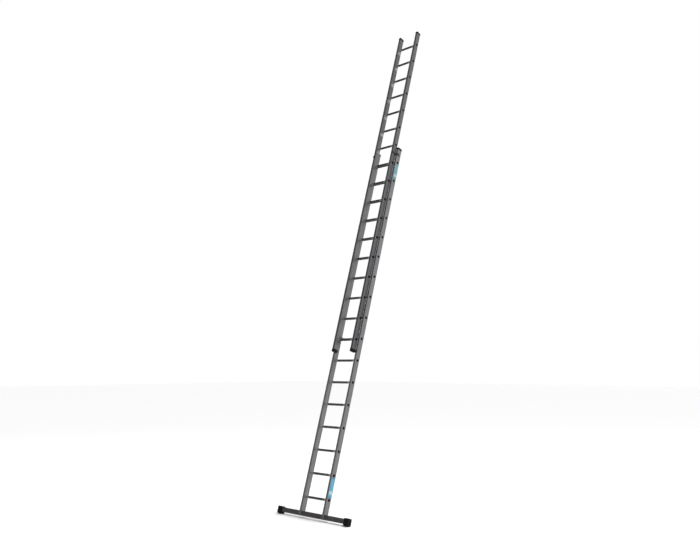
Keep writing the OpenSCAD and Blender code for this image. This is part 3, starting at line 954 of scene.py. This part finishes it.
@dataclass
class Rungs:
    """All the rungs: a grooved tube, swaged into the stiles by a bead inside and a flare outside."""

    shop: Workshop
    count: int = 17
    pitch: float = 280.0
    radius: float = 14.5
    wall: float = 2.0
    rim: float = 2.5
    flare: float = 1.2
    bead: float = 2.5
    edge: float = 0.5
    lip: Steps = ((0.0, 0.7), (0.25, 0.15), (0.7, 0.0))
    bead_back: Steps = ((0.0, 0.0), (0.8, 0.0), (1.6, 0.5))
    bead_foot: Steps = ((-0.3, 0.6), (0.2, 0.0), (1.0, 0.0))
    middle_loop: float = 0.45
    grooves: int = 12
    groove_depth: float = 0.7
    groove_shares: Flat = (1.0, 0.65)
    groove_run_in: float = 3.0
    facets: int = 144
    sections: tuple[tuple[str, Flat, Flat], ...] = (
        ("base", (200.0, 171.0), (0.0, 206.0)),
        ("fly", (169.5, 135.5), (-67.5, 2136.6)),
    )

    def half_profile(self, outer: float, inner: float) -> list[Flat]:
        """Distance from the middle and radius of each loop, from the flared end inwards.

        Args:
            outer: Distance of the stile's outer face from the middle.
            inner: Distance of the stile's inner face.

        Returns:
            The loops of one half of the tube's outside.
        """
        tip, rim, bore = outer + self.flare, self.radius + self.rim, self.radius - self.wall
        foot = inner - self.bead
        return [
            (tip - self.edge, bore),
            (tip, bore + self.edge),
            *((tip - x, rim - r) for x, r in self.lip),
            (outer, rim),
            (outer, self.radius),
            (inner, self.radius),
            *((inner - x, rim - r) for x, r in self.bead_back),
            *((foot - x, self.radius + r) for x, r in self.bead_foot),
            (foot - self.groove_run_in, self.radius),
            (inner * self.middle_loop, self.radius),
        ]

    def tube(self, spans: Flat) -> Piece:
        """Models one rung about the origin.

        Args:
            spans: Distances of the stile's outer and inner faces from the middle.

        Returns:
            The rung.
        """
        half = self.half_profile(*spans)
        loops = [(-x, r) for x, r in half] + half[::-1] + [(-half[0][0], half[0][1])]
        Bench.clear()
        start, radius = (value * MM for value in loops[0])
        bpy.ops.mesh.primitive_circle_add(
            vertices=self.facets, radius=radius, rotation=(0, math.pi / 2, 0), location=(start, 0, 0)
        )
        piece = bpy.context.active_object
        bpy.ops.object.transform_apply(location=True, rotation=True, scale=True)
        Bench.edit(piece)
        for (x0, r0), (x1, r1) in pairwise(loops):
            bpy.ops.mesh.extrude_edges_move(TRANSFORM_OT_translate={"value": ((x1 - x0) * MM, 0, 0)})
            if r1 != r0:
                bpy.ops.transform.resize(value=(1, r1 / r0, r1 / r0), center_override=(x1 * MM, 0, 0))
        Bench.tidy()
        self.cut_grooves(piece, half[-2][0] + SLACK)
        return piece

    def cut_grooves(self, piece: Piece, half_run: float) -> None:
        """Presses the grip grooves into the middle of a rung.

        Args:
            piece: The rung.
            half_run: How far the grooves run on each side of the middle.
        """
        pitch, step = 360 / self.grooves, 360 / self.facets
        Bench.edit(piece)
        for turns, share in enumerate(self.groove_shares):

            def in_groove(spot: Vector, _: Vector, wanted: float = turns * step) -> bool:
                angle = math.degrees(math.atan2(spot.z, spot.y)) % pitch - pitch / 2
                outside = math.hypot(spot.y, spot.z) > self.radius - SLACK
                return outside and abs(spot.x) < half_run and abs(abs(angle) - wanted) < step / 4

            Bench.pick(piece, "VERT", in_groove)
            scale = 1 - share * self.groove_depth / self.radius
            bpy.ops.transform.resize(value=(1, scale, scale), center_override=(0, 0, 0))
        Bench.tidy()

    def build(self) -> None:
        """Makes every rung of both sections."""
        for section, spans, (y, z) in self.sections:
            pattern = self.tube(spans)
            for number in range(1, self.count + 1):
                rung = Bench.copy(pattern, shift(0, y, z + (number - 1) * self.pitch))
                tag = Tag(f"{section}_tube_{number:02d}", section, "rung", f"{section}_rung_aluminium")
                self.shop.deliver(rung, tag, [f"{section}_rung_{number:02d}"])
            Bench.discard(pattern)


@dataclass(frozen=True)
class CapPlan:
    """One kind of cap: the stile's size, the rims on its inner and outer sides, and its place."""

    node: str
    body: str
    stile: Flat
    rims: Flat
    height: float
    place: Matrix


CAP_PLANS = (
    CapPlan("base_top_cap", "base", (29.0, 72.0), (0.3, 1.5), 16.0, shift(185.5, 0, 4895)),
    CapPlan("fly_top_cap", "fly", (34.0, 70.0), (1.5, 1.0), 16.0, shift(152.5, -67.5, 6818.6)),
    CapPlan("fly_bottom_cap", "fly", (34.0, 70.0), (1.5, 1.0), 25.0, shift(152.5, -67.5, 2000.6) @ ABOUT_X),
)


@dataclass
class EndCaps:
    """Moulded caps on the stiles' ends, with a recessed panel, a shut line, a skirt and a plug.

    The crown, panel and plug are steps: how far each side comes in, and how far the face moves.
    """

    shop: Workshop
    corner: float = 4.0
    corner_steps: int = 5
    stile_corner: float = 3.0
    edge_rim: float = 2.5
    skirt_length: float = 12.0
    skirt_slit: float = 0.1
    thin_rim: float = 1.0
    crown: float = 4.0
    crown_steps: Steps = ((0.4, 1.6), (0.8, 1.2), (1.4, 0.8), (2.0, 0.4), (2.0, 0.0))
    panel_steps: Steps = ((0.5, -0.8), (2.5, 0.0), (0.5, 0.6))
    plug_steps: Steps = ((4.2, 0.0), (0.6, -26.0))
    shut_share: float = 0.35
    shut_line: float = 0.8
    shut_depth: float = 0.5
    round_over: float = 0.5

    @staticmethod
    def step_in(size: Flat, steps: Steps) -> None:
        """Extrudes the selected face again and again, drawn in on all sides.

        Args:
            size: The face's size along X and Y.
            steps: How far each side comes in and how far the face moves along Z, each time.
        """
        across, along = size
        for inset, rise in steps:
            Bench.extrude(0, 0, rise)
            bpy.ops.transform.resize(value=(1 - 2 * inset / across, 1 - 2 * inset / along, 1))
            across -= 2 * inset
            along -= 2 * inset

    def skirt(self, plan: CapPlan) -> Piece:
        """Models the skirt that wraps the stile's end, below Z = 0. A thin inner side has none."""
        x, y = plan.stile[0] / 2, plan.stile[1] / 2
        start, end, edge = -x - plan.rims[0], x + plan.rims[1], y + self.edge_rim
        outer = [(end, edge), (end, -edge)]
        inner = [(-x, -y), (x, -y), (x, y), (-x, y)]
        if plan.rims[0] < self.thin_rim:
            outer = [(-x, edge), *outer, (-x, -edge)]
        else:
            slit = self.skirt_slit / 2
            outer = [(start, slit), (start, edge), *outer, (start, -edge), (start, -slit)]
            inner = [(-x, -slit), *inner, (-x, slit)]
        outline = fillet(outer, self.corner, self.corner_steps, closed=False)
        outline += fillet(inner, self.stile_corner, closed=False)
        return Bench.slab(outline, Plane.XY, -self.skirt_length, 0)

    def cap(self, plan: CapPlan) -> Piece:
        """Models one right-hand cap above Z = 0 and about the stile's middle."""
        width, depth = size = (plan.stile[0] + sum(plan.rims), plan.stile[1] + 2 * self.edge_rim)
        corner = (width / 2, depth / 2)
        outline = oblong((-corner[0], -corner[1]), corner, self.corner, self.corner_steps)
        piece = Bench.slab(outline, Plane.XY, 0, plan.height)
        Bench.edit(piece)
        Bench.pick(piece, "FACE", lambda spot, normal: normal.z > 0.9)
        bpy.ops.transform.translate(value=(0, 0, -self.crown * MM))
        self.step_in(size, self.crown_steps + self.panel_steps)
        low = plan.height * self.shut_share
        high = low + self.shut_line
        Bench.cut_level(low, high)
        Bench.pick(piece, "FACE", lambda spot, normal: low < spot.z < high and abs(normal.z) < 0.1)
        Bench.sink(self.shut_depth)
        Bench.pick(piece, "FACE", lambda spot, normal: normal.z < -0.9 and spot.z < SLACK)
        self.step_in(size, self.plug_steps)
        Bench.tidy()
        Bench.soften(piece, self.round_over)
        Bench.set_down(piece, shift((plan.rims[1] - plan.rims[0]) / 2))
        return Bench.join([piece, self.skirt(plan)])

    def build(self) -> None:
        """Makes the six caps."""
        for plan in CAP_PLANS:
            cap = Bench.set_down(self.cap(plan), plan.place)
            tag = Tag(plan.node + "_moulding_{}", plan.body, "cap", "cap_plastic")
            self.shop.deliver_sides(cap, tag, plan.node + "_{}")


@dataclass
class Stabiliser:
    """The ribbed cross bar with its rubber feet."""

    shop: Workshop
    half_length: float = 567.0
    half_depth: float = 19.0
    bottom: float = -15.0
    top: float = 41.0
    corner: float = 2.5
    rib_pitch: float = 8.4
    rib_gap: float = 2.4
    rib_depth: float = 0.9
    ribs: int = 5
    foot_middle: float = 540.0
    foot_half_length: float = 35.0
    foot_half_depth: float = 33.0
    foot_bottom: float = -35.0
    foot_top: float = 51.0
    foot_corner: float = 9.0
    foot_corner_steps: int = 6
    foot_grooves: tuple[float, ...] = (2.0, 12.0, 22.0, 32.0)
    foot_groove: float = 2.4
    foot_groove_depth: float = 1.3
    mouth_gap: float = 0.6
    mouth_depth: float = 5.0
    tread_start: float = 12.3
    tread_pitch: float = 6.0
    tread_slot: float = 3.4
    tread_inset: float = 0.7
    tread_depth: float = 2.5
    treads: int = 8

    def ribbed_side(self, face: float, sign: int) -> list[Flat]:
        """Points up or down one ribbed side of the bar.

        Args:
            face: Where the side is, along Y.
            sign: 1 to go up, -1 to go down.

        Returns:
            The points in order, without the bar's corners.
        """
        middle = (self.bottom + self.top) / 2
        floor = face - math.copysign(self.rib_depth, face)
        out: list[Flat] = []
        for i in range(self.ribs):
            at = middle + sign * (i - (self.ribs - 1) / 2) * self.rib_pitch
            reach = sign * self.rib_gap / 2
            out += [(face, at - reach), (floor, at - reach / 2), (floor, at + reach / 2), (face, at + reach)]
        return out

    def bar(self) -> Piece:
        """Models the bar by drawing its section and pulling it to length."""
        d, r = self.half_depth, self.corner
        low, high = self.bottom + r, self.top - r
        outline = arc(r, -90, 0, 4, (d - r, low)) + self.ribbed_side(d, 1)
        outline += arc(r, 0, 90, 4, (d - r, high)) + arc(r, 90, 180, 4, (r - d, high))
        outline += self.ribbed_side(-d, -1) + arc(r, 180, 270, 4, (r - d, low))
        return Bench.slab(outline, Plane.YZ, -self.half_length, self.half_length)

    def foot(self) -> Piece:
        """Models the right foot, with grooves, a mouth for the bar and a level sole, in the row frame."""
        length, depth = 2 * self.foot_half_length, 2 * self.foot_half_depth
        height, middle = self.foot_top - self.foot_bottom, (self.foot_top + self.foot_bottom) / 2
        Bench.clear()
        bpy.ops.mesh.primitive_cube_add(
            size=1,
            location=(self.foot_middle * MM, 0, middle * MM),
            scale=(length * MM, depth * MM, height * MM),
        )
        piece = bpy.context.active_object
        bpy.ops.object.transform_apply(location=True, rotation=True, scale=True)
        Bench.soften(piece, self.foot_corner, self.foot_corner_steps)
        Bench.edit(piece)
        grooves = [(level, level + self.foot_groove) for level in self.foot_grooves]
        for groove in grooves:
            Bench.cut_level(*groove)

        def in_groove(spot: Vector, normal: Vector) -> bool:
            outside = normal.x > -0.3 and abs(normal.z) < 0.3
            return outside and any(low < spot.z < high for low, high in grooves)

        Bench.pick(piece, "FACE", in_groove)
        Bench.sink(self.foot_groove_depth)
        side = self.half_depth + self.mouth_gap
        low, high = self.bottom - self.mouth_gap, self.top + self.mouth_gap
        cuts = [((0, y, 0), (0, 1, 0)) for y in (-side, side)]
        cuts += [((0, 0, z), (0, 0, 1)) for z in (low, high)]
        for spot, normal in cuts:
            Bench.pick(piece, "FACE", lambda _, normal: normal.x < -0.99)
            Bench.cut(spot, normal)
        inner_end = self.foot_middle - self.foot_half_length + SLACK

        def in_mouth(spot: Vector, normal: Vector) -> bool:
            inward = normal.x < -0.99 and spot.x < inner_end
            return inward and abs(spot.y) < side and low < spot.z < high

        Bench.pick(piece, "FACE", in_mouth)
        Bench.extrude(self.mouth_depth, 0, 0)
        Bench.tidy()
        Bench.set_down(piece, self.shop.frame.matrix())
        self.cut_sole(piece)
        return piece

    def cut_sole(self, piece: Piece) -> None:
        """Cuts the foot level with the floor and presses tread slots into its sole."""
        Bench.edit(piece)
        bpy.ops.mesh.bisect(plane_co=(0, 0, 0), plane_no=(0, 0, 1), use_fill=True, clear_inner=True)

        def is_sole(spot: Vector, normal: Vector) -> bool:
            return abs(normal.z) > 0.95 and spot.z < 2 * SLACK

        start = self.foot_middle - self.foot_half_length + self.tread_start
        starts = [start + self.tread_pitch * i for i in range(self.treads)]
        slots = [(x, x + self.tread_slot) for x in starts]
        for x in (x for slot in slots for x in slot):
            Bench.pick(piece, "FACE", is_sole)
            Bench.cut((x, 0, 0), (1, 0, 0))

        def in_slot(spot: Vector, normal: Vector) -> bool:
            return is_sole(spot, normal) and any(a < spot.x < b for a, b in slots)

        Bench.pick(piece, "FACE", in_slot)
        bpy.ops.mesh.inset(thickness=self.tread_inset * MM, use_individual=True)
        Bench.extrude(0, 0, self.tread_depth)
        Bench.tidy()

    def build(self) -> None:
        """Makes the bar and both feet."""
        bar = Tag("cross_bar_extrusion", "base", "bar", "bar_aluminium")
        self.shop.deliver(self.bar(), bar, ["stabiliser_bar"])
        foot = Tag("rubber_foot_{}", "base", "foot", "foot_rubber")
        self.shop.deliver_sides(self.foot(), foot, "stabiliser_foot_{}", leaned=True)


@dataclass
class Fasteners:
    """Bolts, washers and lock nuts of the stabiliser and the guide brackets."""

    shop: Workshop
    bolt: float = 8.0
    thread: float = 8.0
    thread_pitch: float = 1.2
    thread_depth: float = 0.55
    tip: Steps = ((0.6, 0.3), (0.0, 1.0))
    flats: float = 13.0
    head: float = 5.3
    nut: float = 7.5
    nut_share: float = 0.78
    collar_share: float = 0.7
    tail: float = 2.0
    washer: float = 17.0
    washer_t: float = 1.6
    stile_x: float = 185.5
    stile_half_depth: float = 36.0
    bar_z: float = 13.0
    guide_z: float = 4804.0
    guide_outer: float = 203.0
    guide_inner: float = 171.0

    def hexagon(self, height: float) -> Piece:
        """A hexagon from Y = 0 towards -Y, with the chamfer that turning leaves on its corners."""
        across = self.flats / math.sqrt(3)
        hexagon = Bench.slab(arc(across, 0, 300, 5), Plane.XY, 0, height)
        Bench.set_down(hexagon, Matrix.Rotation(math.pi / 2, 4, "X"))
        rim, flat, top = across + 0.2, self.flats / 2 - 0.3, -height - 1
        profile = [(1, 0), (1, rim), (0.9 - height, rim), (-height, flat), (top, flat), (top, 0)]
        Bench.common(hexagon, Bench.turned(profile, Axis.Y, 48))
        return hexagon

    def thread_end(self, start: float, end: float) -> list[Flat]:
        """Profile of a bolt's visible threads.

        Args:
            start: Where the plain shank ends.
            end: The bolt's tip.

        Returns:
            Points along the threads, tip included.
        """
        out: list[Flat] = []
        radius, at = self.bolt / 2, start
        while at < end - 1.4:
            out += [(at, radius), (at + self.thread_pitch / 2, radius - self.thread_depth)]
            at += self.thread_pitch
        return out + [(at, radius)] + [(end - x, radius - r) for x, r in self.tip] + [(end, 0)]

    def bolt_piece(self, grip: float) -> Piece:
        """A bolt along Y, with its head towards -Y and a distance from under the head to its tip."""
        profile = [(-1, 0), (-1, self.bolt / 2)] + self.thread_end(grip - self.thread, grip)
        shank = Bench.turned(profile, Axis.Y)
        return Bench.join([self.hexagon(self.head), shank])

    def nut_piece(self) -> Piece:
        """A lock nut from Y = 0 towards -Y, with its raised collar."""
        hexagon = self.hexagon(self.nut * self.nut_share)
        end, foot = -self.nut, -self.nut * self.collar_share
        r0, r1 = self.bolt / 2 + 0.1, self.flats / 2 - 0.9
        outside = [(foot, r0), (foot, r1), (end + 0.9, r1), (end + 0.2, r1 - 0.5), (end, r1 - 1.2)]
        inside = [(end + 0.1, r0 + 0.3), (end + 0.5, r0), (foot, r0)]
        return Bench.join([hexagon, Bench.turned(outside + inside, Axis.Y, 32)])

    def washer_piece(self) -> Piece:
        """A washer from Y = 0 towards +Y with its rounded rim."""
        r0, r1, t = self.bolt / 2 + 0.2, self.washer / 2, self.washer_t
        bore = [(0, r0), (0.2, r0 - 0.15), (t - 0.2, r0 - 0.15), (t, r0)]
        rim = [(t, r1 - 0.4), (t - 0.3, r1), (0.3, r1), (0, r1 - 0.4), (0, r0)]
        return Bench.turned(bore + rim, Axis.Y, 40)

    def set_out(self, pattern: Piece, name: str, node: str, *places: Matrix) -> None:
        """Copies a pattern to each place on both sides and delivers the copies as one piece.

        Args:
            pattern: The fastener, which is used up.
            name: The piece's name.
            node: CAD node that it stands for.
            places: Where the right-hand copies go.
        """
        spots = [mirror @ place for place in places for mirror in (Matrix(), MIRROR)]
        copies = [Bench.copy(pattern, spot) for spot in spots]
        Bench.discard(pattern)
        self.shop.deliver(Bench.join(copies), Tag(name, "base", "zinc", "zinc_plate"), [node])

    def build(self) -> None:
        """Makes each set of fasteners as one piece."""
        face, washer = self.stile_half_depth, self.washer_t
        at_bar = shift(self.stile_x, 0, self.bar_z)
        front, back = at_bar @ shift(0, -face - washer), at_bar @ shift(0, face + washer) @ ABOUT_Z
        inner = shift(self.guide_inner, 0, self.guide_z) @ TURN_Y_TO_X
        outer = shift(self.guide_outer, 0, self.guide_z) @ TURN_Y_TO_X @ ABOUT_Z
        past = self.nut + self.tail
        grip, guide_grip = 2 * face + 2 * washer + past, self.guide_outer - self.guide_inner + past
        self.set_out(self.bolt_piece(grip), "cross_bar_bolts", "stabiliser_bolts", front)
        washers = (front, at_bar @ shift(0, face))
        self.set_out(self.washer_piece(), "cross_bar_washers", "stabiliser_washers", *washers)
        self.set_out(self.nut_piece(), "locking_nuts", "lock_nuts", back, inner)
        self.set_out(self.bolt_piece(guide_grip), "bracket_bolts", "guide_bolts", outer)


@dataclass
class Guides:
    """Bent brackets that hold the fly against the base, with their nylon liners."""

    shop: Workshop
    low: float = 4789.0
    high: float = 4819.0
    thickness: float = 3.0
    bend: float = 3.5
    edges: Flat = (0.5, 0.3)
    path: Steps = ((201.5, 14.0), (201.5, -37.5), (173.5, -37.5), (173.5, -107.0), (144.5, -107.0))
    liner_toe: Steps = ((144.5, -105.5), (169.8, -105.5))
    liner_bend: Steps = ((170.9, -105.1), (171.6, -104.4), (172.0, -103.3))
    liner_inside: Steps = ((172.0, -85.3), (170.3, -85.3), (170.3, -103.3), (144.5, -103.3))

    def build(self) -> None:
        """Makes both brackets and the pair of liners."""
        strip = bent_strip(self.path, self.thickness, self.bend)
        bracket = Bench.slab(strip, Plane.XY, self.low, self.high)
        Bench.soften(bracket, self.edges[0])
        tag = Tag("bent_bracket_{}", "base", "bracket", "bracket_steel")
        self.shop.deliver_sides(bracket, tag, "guide_bracket_{}")
        outline = self.liner_toe + self.liner_bend + self.liner_inside
        liner = Bench.slab(outline, Plane.XY, self.low, self.high)
        Bench.soften(liner, self.edges[1])
        tag = Tag("bracket_liners", "base", "liner", "liner_nylon")
        self.shop.deliver(Bench.pair(liner), tag, ["guide_liners"])


@dataclass
class RungHooks:
    """Swinging hooks that hang the fly on a base rung, with their plates, pins and rivets."""

    shop: Workshop
    pivot: Flat = (-25.0, 2114.0)
    hook_x: Flat = (125.0, 131.0)
    plate_x: Flat = (131.5, 135.5)
    shank: float = 16.0
    tail: float = 16.0
    arc_in: float = 72.6
    arc_out: float = 81.6
    nose: float = 53.7
    nose_round: float = 0.8
    pin: float = 4.0
    pin_head: Flat = (7.0, 3.0)
    plate_front: float = 45.0
    plate_drop: float = 34.0
    plate_rise: float = 3.0
    stop_gap: float = 0.3
    stop: float = 6.0
    rivets: Steps = ((-37.0, -16.0), (-21.0, -16.0))
    rivet: float = 3.0
    rivet_head: Flat = (5.4, 2.4)
    dome: Steps = ((0.0, 1.0), (0.35, 0.97), (0.62, 0.86), (0.82, 0.66), (0.94, 0.38))
    stile_wall: float = 1.8

    def at_pivot(self, y: float = 0.0, z: float = 0.0) -> Matrix:
        """A place given from the right pivot."""
        return shift(0, *self.pivot) @ shift(0, y, z)

    def hook(self) -> Piece:
        """Models the right hook: tail, eye, shank and the arc over the rung."""
        half, tail, nose = self.shank / 2, -self.tail, self.nose
        inner = math.degrees(math.acos(half / self.arc_in))
        outer = math.degrees(math.acos(-half / self.arc_out))
        outline: list[Flat] = [(-half, tail + 1), (1 - half, tail), (-1, tail), (0, tail + 1), (0, -half)]
        outline += arc(half, -80, 0, 8)
        outline += arc(self.arc_in, inner, nose + self.nose_round, 10)
        outline += arc((self.arc_in + self.arc_out) / 2, nose, nose, 1)[:1]
        outline += arc(self.arc_out, nose + self.nose_round, outer - 2.5, 14)
        outline += [(-half, self.arc_out - 6)]
        hook = Bench.slab(outline, Plane.YZ, *self.hook_x)
        Bench.soften(hook, 0.7)
        return Bench.set_down(hook, self.at_pivot())

    def plate(self) -> Piece:
        """Models the right plate with the hook's stop on it."""
        half, rise, front, drop = self.shank / 2, self.plate_rise, -self.plate_front, -self.plate_drop
        shoulder = math.degrees(math.asin(rise / half))
        corners = [(-half, rise), (front, rise), (front, drop), (half, drop), (half, 0)]
        outline = fillet(corners, 4.0, closed=False) + arc(half, 8, 180 - shoulder, 12)
        plate = Bench.slab(outline, Plane.YZ, *self.plate_x)
        Bench.soften(plate, 0.6)
        near = -half - self.stop_gap
        block = oblong((near - self.stop, -self.tail), (near, self.stop - self.tail), 0.8, 3)
        stop = Bench.slab(block, Plane.YZ, self.hook_x[0], self.plate_x[0] + 0.2)
        Bench.soften(stop, 0.4)
        return Bench.set_down(Bench.join([plate, stop]), self.at_pivot())

    def domed(self, start: float, end: float, radius: float, head: Flat) -> Piece:
        """A pin along X with a domed head beyond each end.

        Args:
            start: Underside of the inner head.
            end: Underside of the outer head.
            radius: Radius of the shank.
            head: Radius and height of the heads.

        Returns:
            The pin.
        """
        wide, tall = head
        low = [(start - tall * a, wide * r) for a, r in self.dome][::-1]
        high = [(end + tall * a, wide * r) for a, r in self.dome]
        profile = [(start - tall, 0), *low, (start, radius), (end, radius), *high, (end + tall, 0)]
        return Bench.turned(profile, Axis.X)

    def build(self) -> None:
        """Makes the hooks and what carries them."""
        steel = Tag("swing_hook_{}", "hook_{}", "hook", "hook_steel")
        self.shop.deliver_sides(self.hook(), steel, "rung_hook_{}")
        carriers = Tag("hook_carriers", "fly", "hook", "hook_steel")
        self.shop.deliver(Bench.pair(self.plate()), carriers, ["hook_plates"])
        inner, outer = self.plate_x
        pin = self.domed(self.hook_x[0] - 0.5, outer, self.pin, self.pin_head)
        Bench.set_down(pin, self.at_pivot())
        self.shop.deliver(Bench.pair(pin), Tag("pivot_pins", "fly", "zinc", "zinc_plate"), ["hook_pins"])
        rivets = []
        for y, z in self.rivets:
            rivet = self.domed(inner, outer + self.stile_wall, self.rivet, self.rivet_head)
            rivets.append(Bench.set_down(rivet, self.at_pivot(y, z)))
        tag = Tag("carrier_rivets", "fly", "rivet", "rivet_aluminium")
        self.shop.deliver(Bench.pair(Bench.join(rivets)), tag, ["hook_rivets"])


@dataclass
class Labels:
    """Two plain vinyl labels on the right base stile."""

    shop: Workshop
    face: float = 200.0
    thickness: float = 0.4
    half_width: float = 31.0
    half_length: float = 115.0
    corner: float = 5.0
    edge: float = 0.12
    middles: tuple[tuple[str, float], ...] = (("low_label", 346.0), ("high_label", 4546.0))

    def build(self) -> None:
        """Makes both labels."""
        for name, middle in self.middles:
            low = (-self.half_width, middle - self.half_length)
            high = (self.half_width, middle + self.half_length)
            outline = oblong(low, high, self.corner, 6)
            label = Bench.slab(outline, Plane.YZ, self.face, self.face + self.thickness)
            Bench.soften(label, self.edge)
            self.shop.deliver(label, Tag(name, "base", "label", name + "_vinyl"), ["labels"])


@dataclass
class Studio:
    """Pale floor, soft lights and the camera."""

    camera_at: Colour = (6.0905, -6.1128, 1.7557)
    looks_along: Colour = (-0.6647, 0.7375, 0.1203)
    lens: float = 37.01
    sensor: float = 36.0
    sees_to: float = 300.0
    floor_size: float = 120.0
    floor_greys: Flat = (0.93, 0.96)
    sky_seen: float = 1.0
    sky_dark: float = 0.2
    sky_bright: float = 1.05
    bright_side: Colour = (0.77, 0.64, 0.0)
    lit: Colour = (0.0, 1.0, 3.2)
    lamp_size: float = 6.0
    lamps: tuple[tuple[str, Colour, float], ...] = (
        ("side_panel", (7.0, 1.0, 6.0), 300.0),
        ("back_panel", (-6.0, 7.0, 7.0), 120.0),
    )
    sun_from: Colour = (3.0, 2.0, 9.0)
    sun_power: float = 1.4
    sun_spread: float = 70.0

    @staticmethod
    def put(name: str, data: bpy.types.ID, spot: Sequence[float], way: Vector) -> Piece:
        """Places a lamp or the camera.

        Args:
            name: The object's name.
            data: The lamp or camera.
            spot: Where it stands, in metres.
            way: Where it points.

        Returns:
            The object.
        """
        item = bpy.data.objects.new(name, data)
        item.location = spot
        item.rotation_euler = way.to_track_quat("-Z", "Y").to_euler()
        bpy.context.collection.objects.link(item)
        return item

    def floor(self) -> None:
        """Lays the floor, with a faintly uneven pale finish."""
        Bench.clear()
        bpy.ops.mesh.primitive_plane_add(size=self.floor_size)
        floor = bpy.context.active_object
        floor.name = floor.data.name = "studio_floor"
        material = bpy.data.materials.new("pale_floor")
        material.use_nodes = True
        material.node_tree.nodes.clear()
        graph = Graph(material.node_tree)
        spot = graph.add("TexCoord").outputs["Object"]
        colour = graph.blend(graph.noise(spot, 1.5), *((grey,) * 3 for grey in self.floor_greys))
        inputs = {"Base Color": colour, "Roughness": 0.85, "Specular IOR Level": 0.2}
        shader = graph.add("BsdfPrincipled", inputs)
        graph.add("OutputMaterial", {"Surface": shader.outputs[0]})
        floor.data.materials.append(material)

    def sky(self) -> None:
        """Surrounds the scene with white that lights one side more than the other."""
        world = bpy.data.worlds.new("studio_world")
        bpy.context.scene.world = world
        world.use_nodes = True
        world.node_tree.nodes.clear()
        graph = Graph(world.node_tree)
        seen = graph.add("LightPath").outputs["Is Camera Ray"]
        way = graph.add("TexCoord").outputs["Generated"]
        turn = graph.add("VectorMath", {0: way, 1: self.bright_side}, operation="DOT_PRODUCT")
        light = graph.steps(turn.outputs["Value"], -1.0, 1.0, self.sky_dark, self.sky_bright)
        strength = graph.steps(seen, 0.0, 1.0, light, self.sky_seen)
        shine = graph.add("Background", {"Color": (1.0, 1.0, 1.0), "Strength": strength})
        graph.add("OutputWorld", {"Surface": shine.outputs[0]})

    def build(self) -> None:
        """Makes the floor, sky, lamps and camera."""
        self.floor()
        self.sky()
        for name, spot, power in self.lamps:
            lamp = bpy.data.lights.new(name, "AREA")
            lamp.size = self.lamp_size
            lamp.energy = power
            self.put(name, lamp, spot, Vector(self.lit) - Vector(spot))
        sun = bpy.data.lights.new("soft_sun", "SUN")
        sun.energy = self.sun_power
        sun.angle = math.radians(self.sun_spread)
        self.put("soft_sun", sun, (0, 0, 0), -Vector(self.sun_from))
        view = bpy.data.cameras.new("view")
        view.lens = self.lens
        view.sensor_width = self.sensor
        view.clip_end = self.sees_to
        scene = bpy.context.scene
        scene.camera = self.put("view", view, self.camera_at, Vector(self.looks_along))
        scene.view_settings.view_transform = "Standard"


def main() -> None:
    """Builds the sub-assemblies in order."""
    logging.basicConfig(level=logging.INFO, format="%(name)s: %(message)s")
    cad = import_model()
    shop = Workshop(LadderFrame.from_cad(cad["record"]))
    Studio().build()
    Stiles(shop).build(cad["nodes"])
    for maker in (Rungs, EndCaps, Stabiliser, Fasteners, Guides, RungHooks, Labels):
        maker(shop).build()
    Bench.clear()
    bpy.context.view_layer.update()


if __name__ == "__main__":
    main()
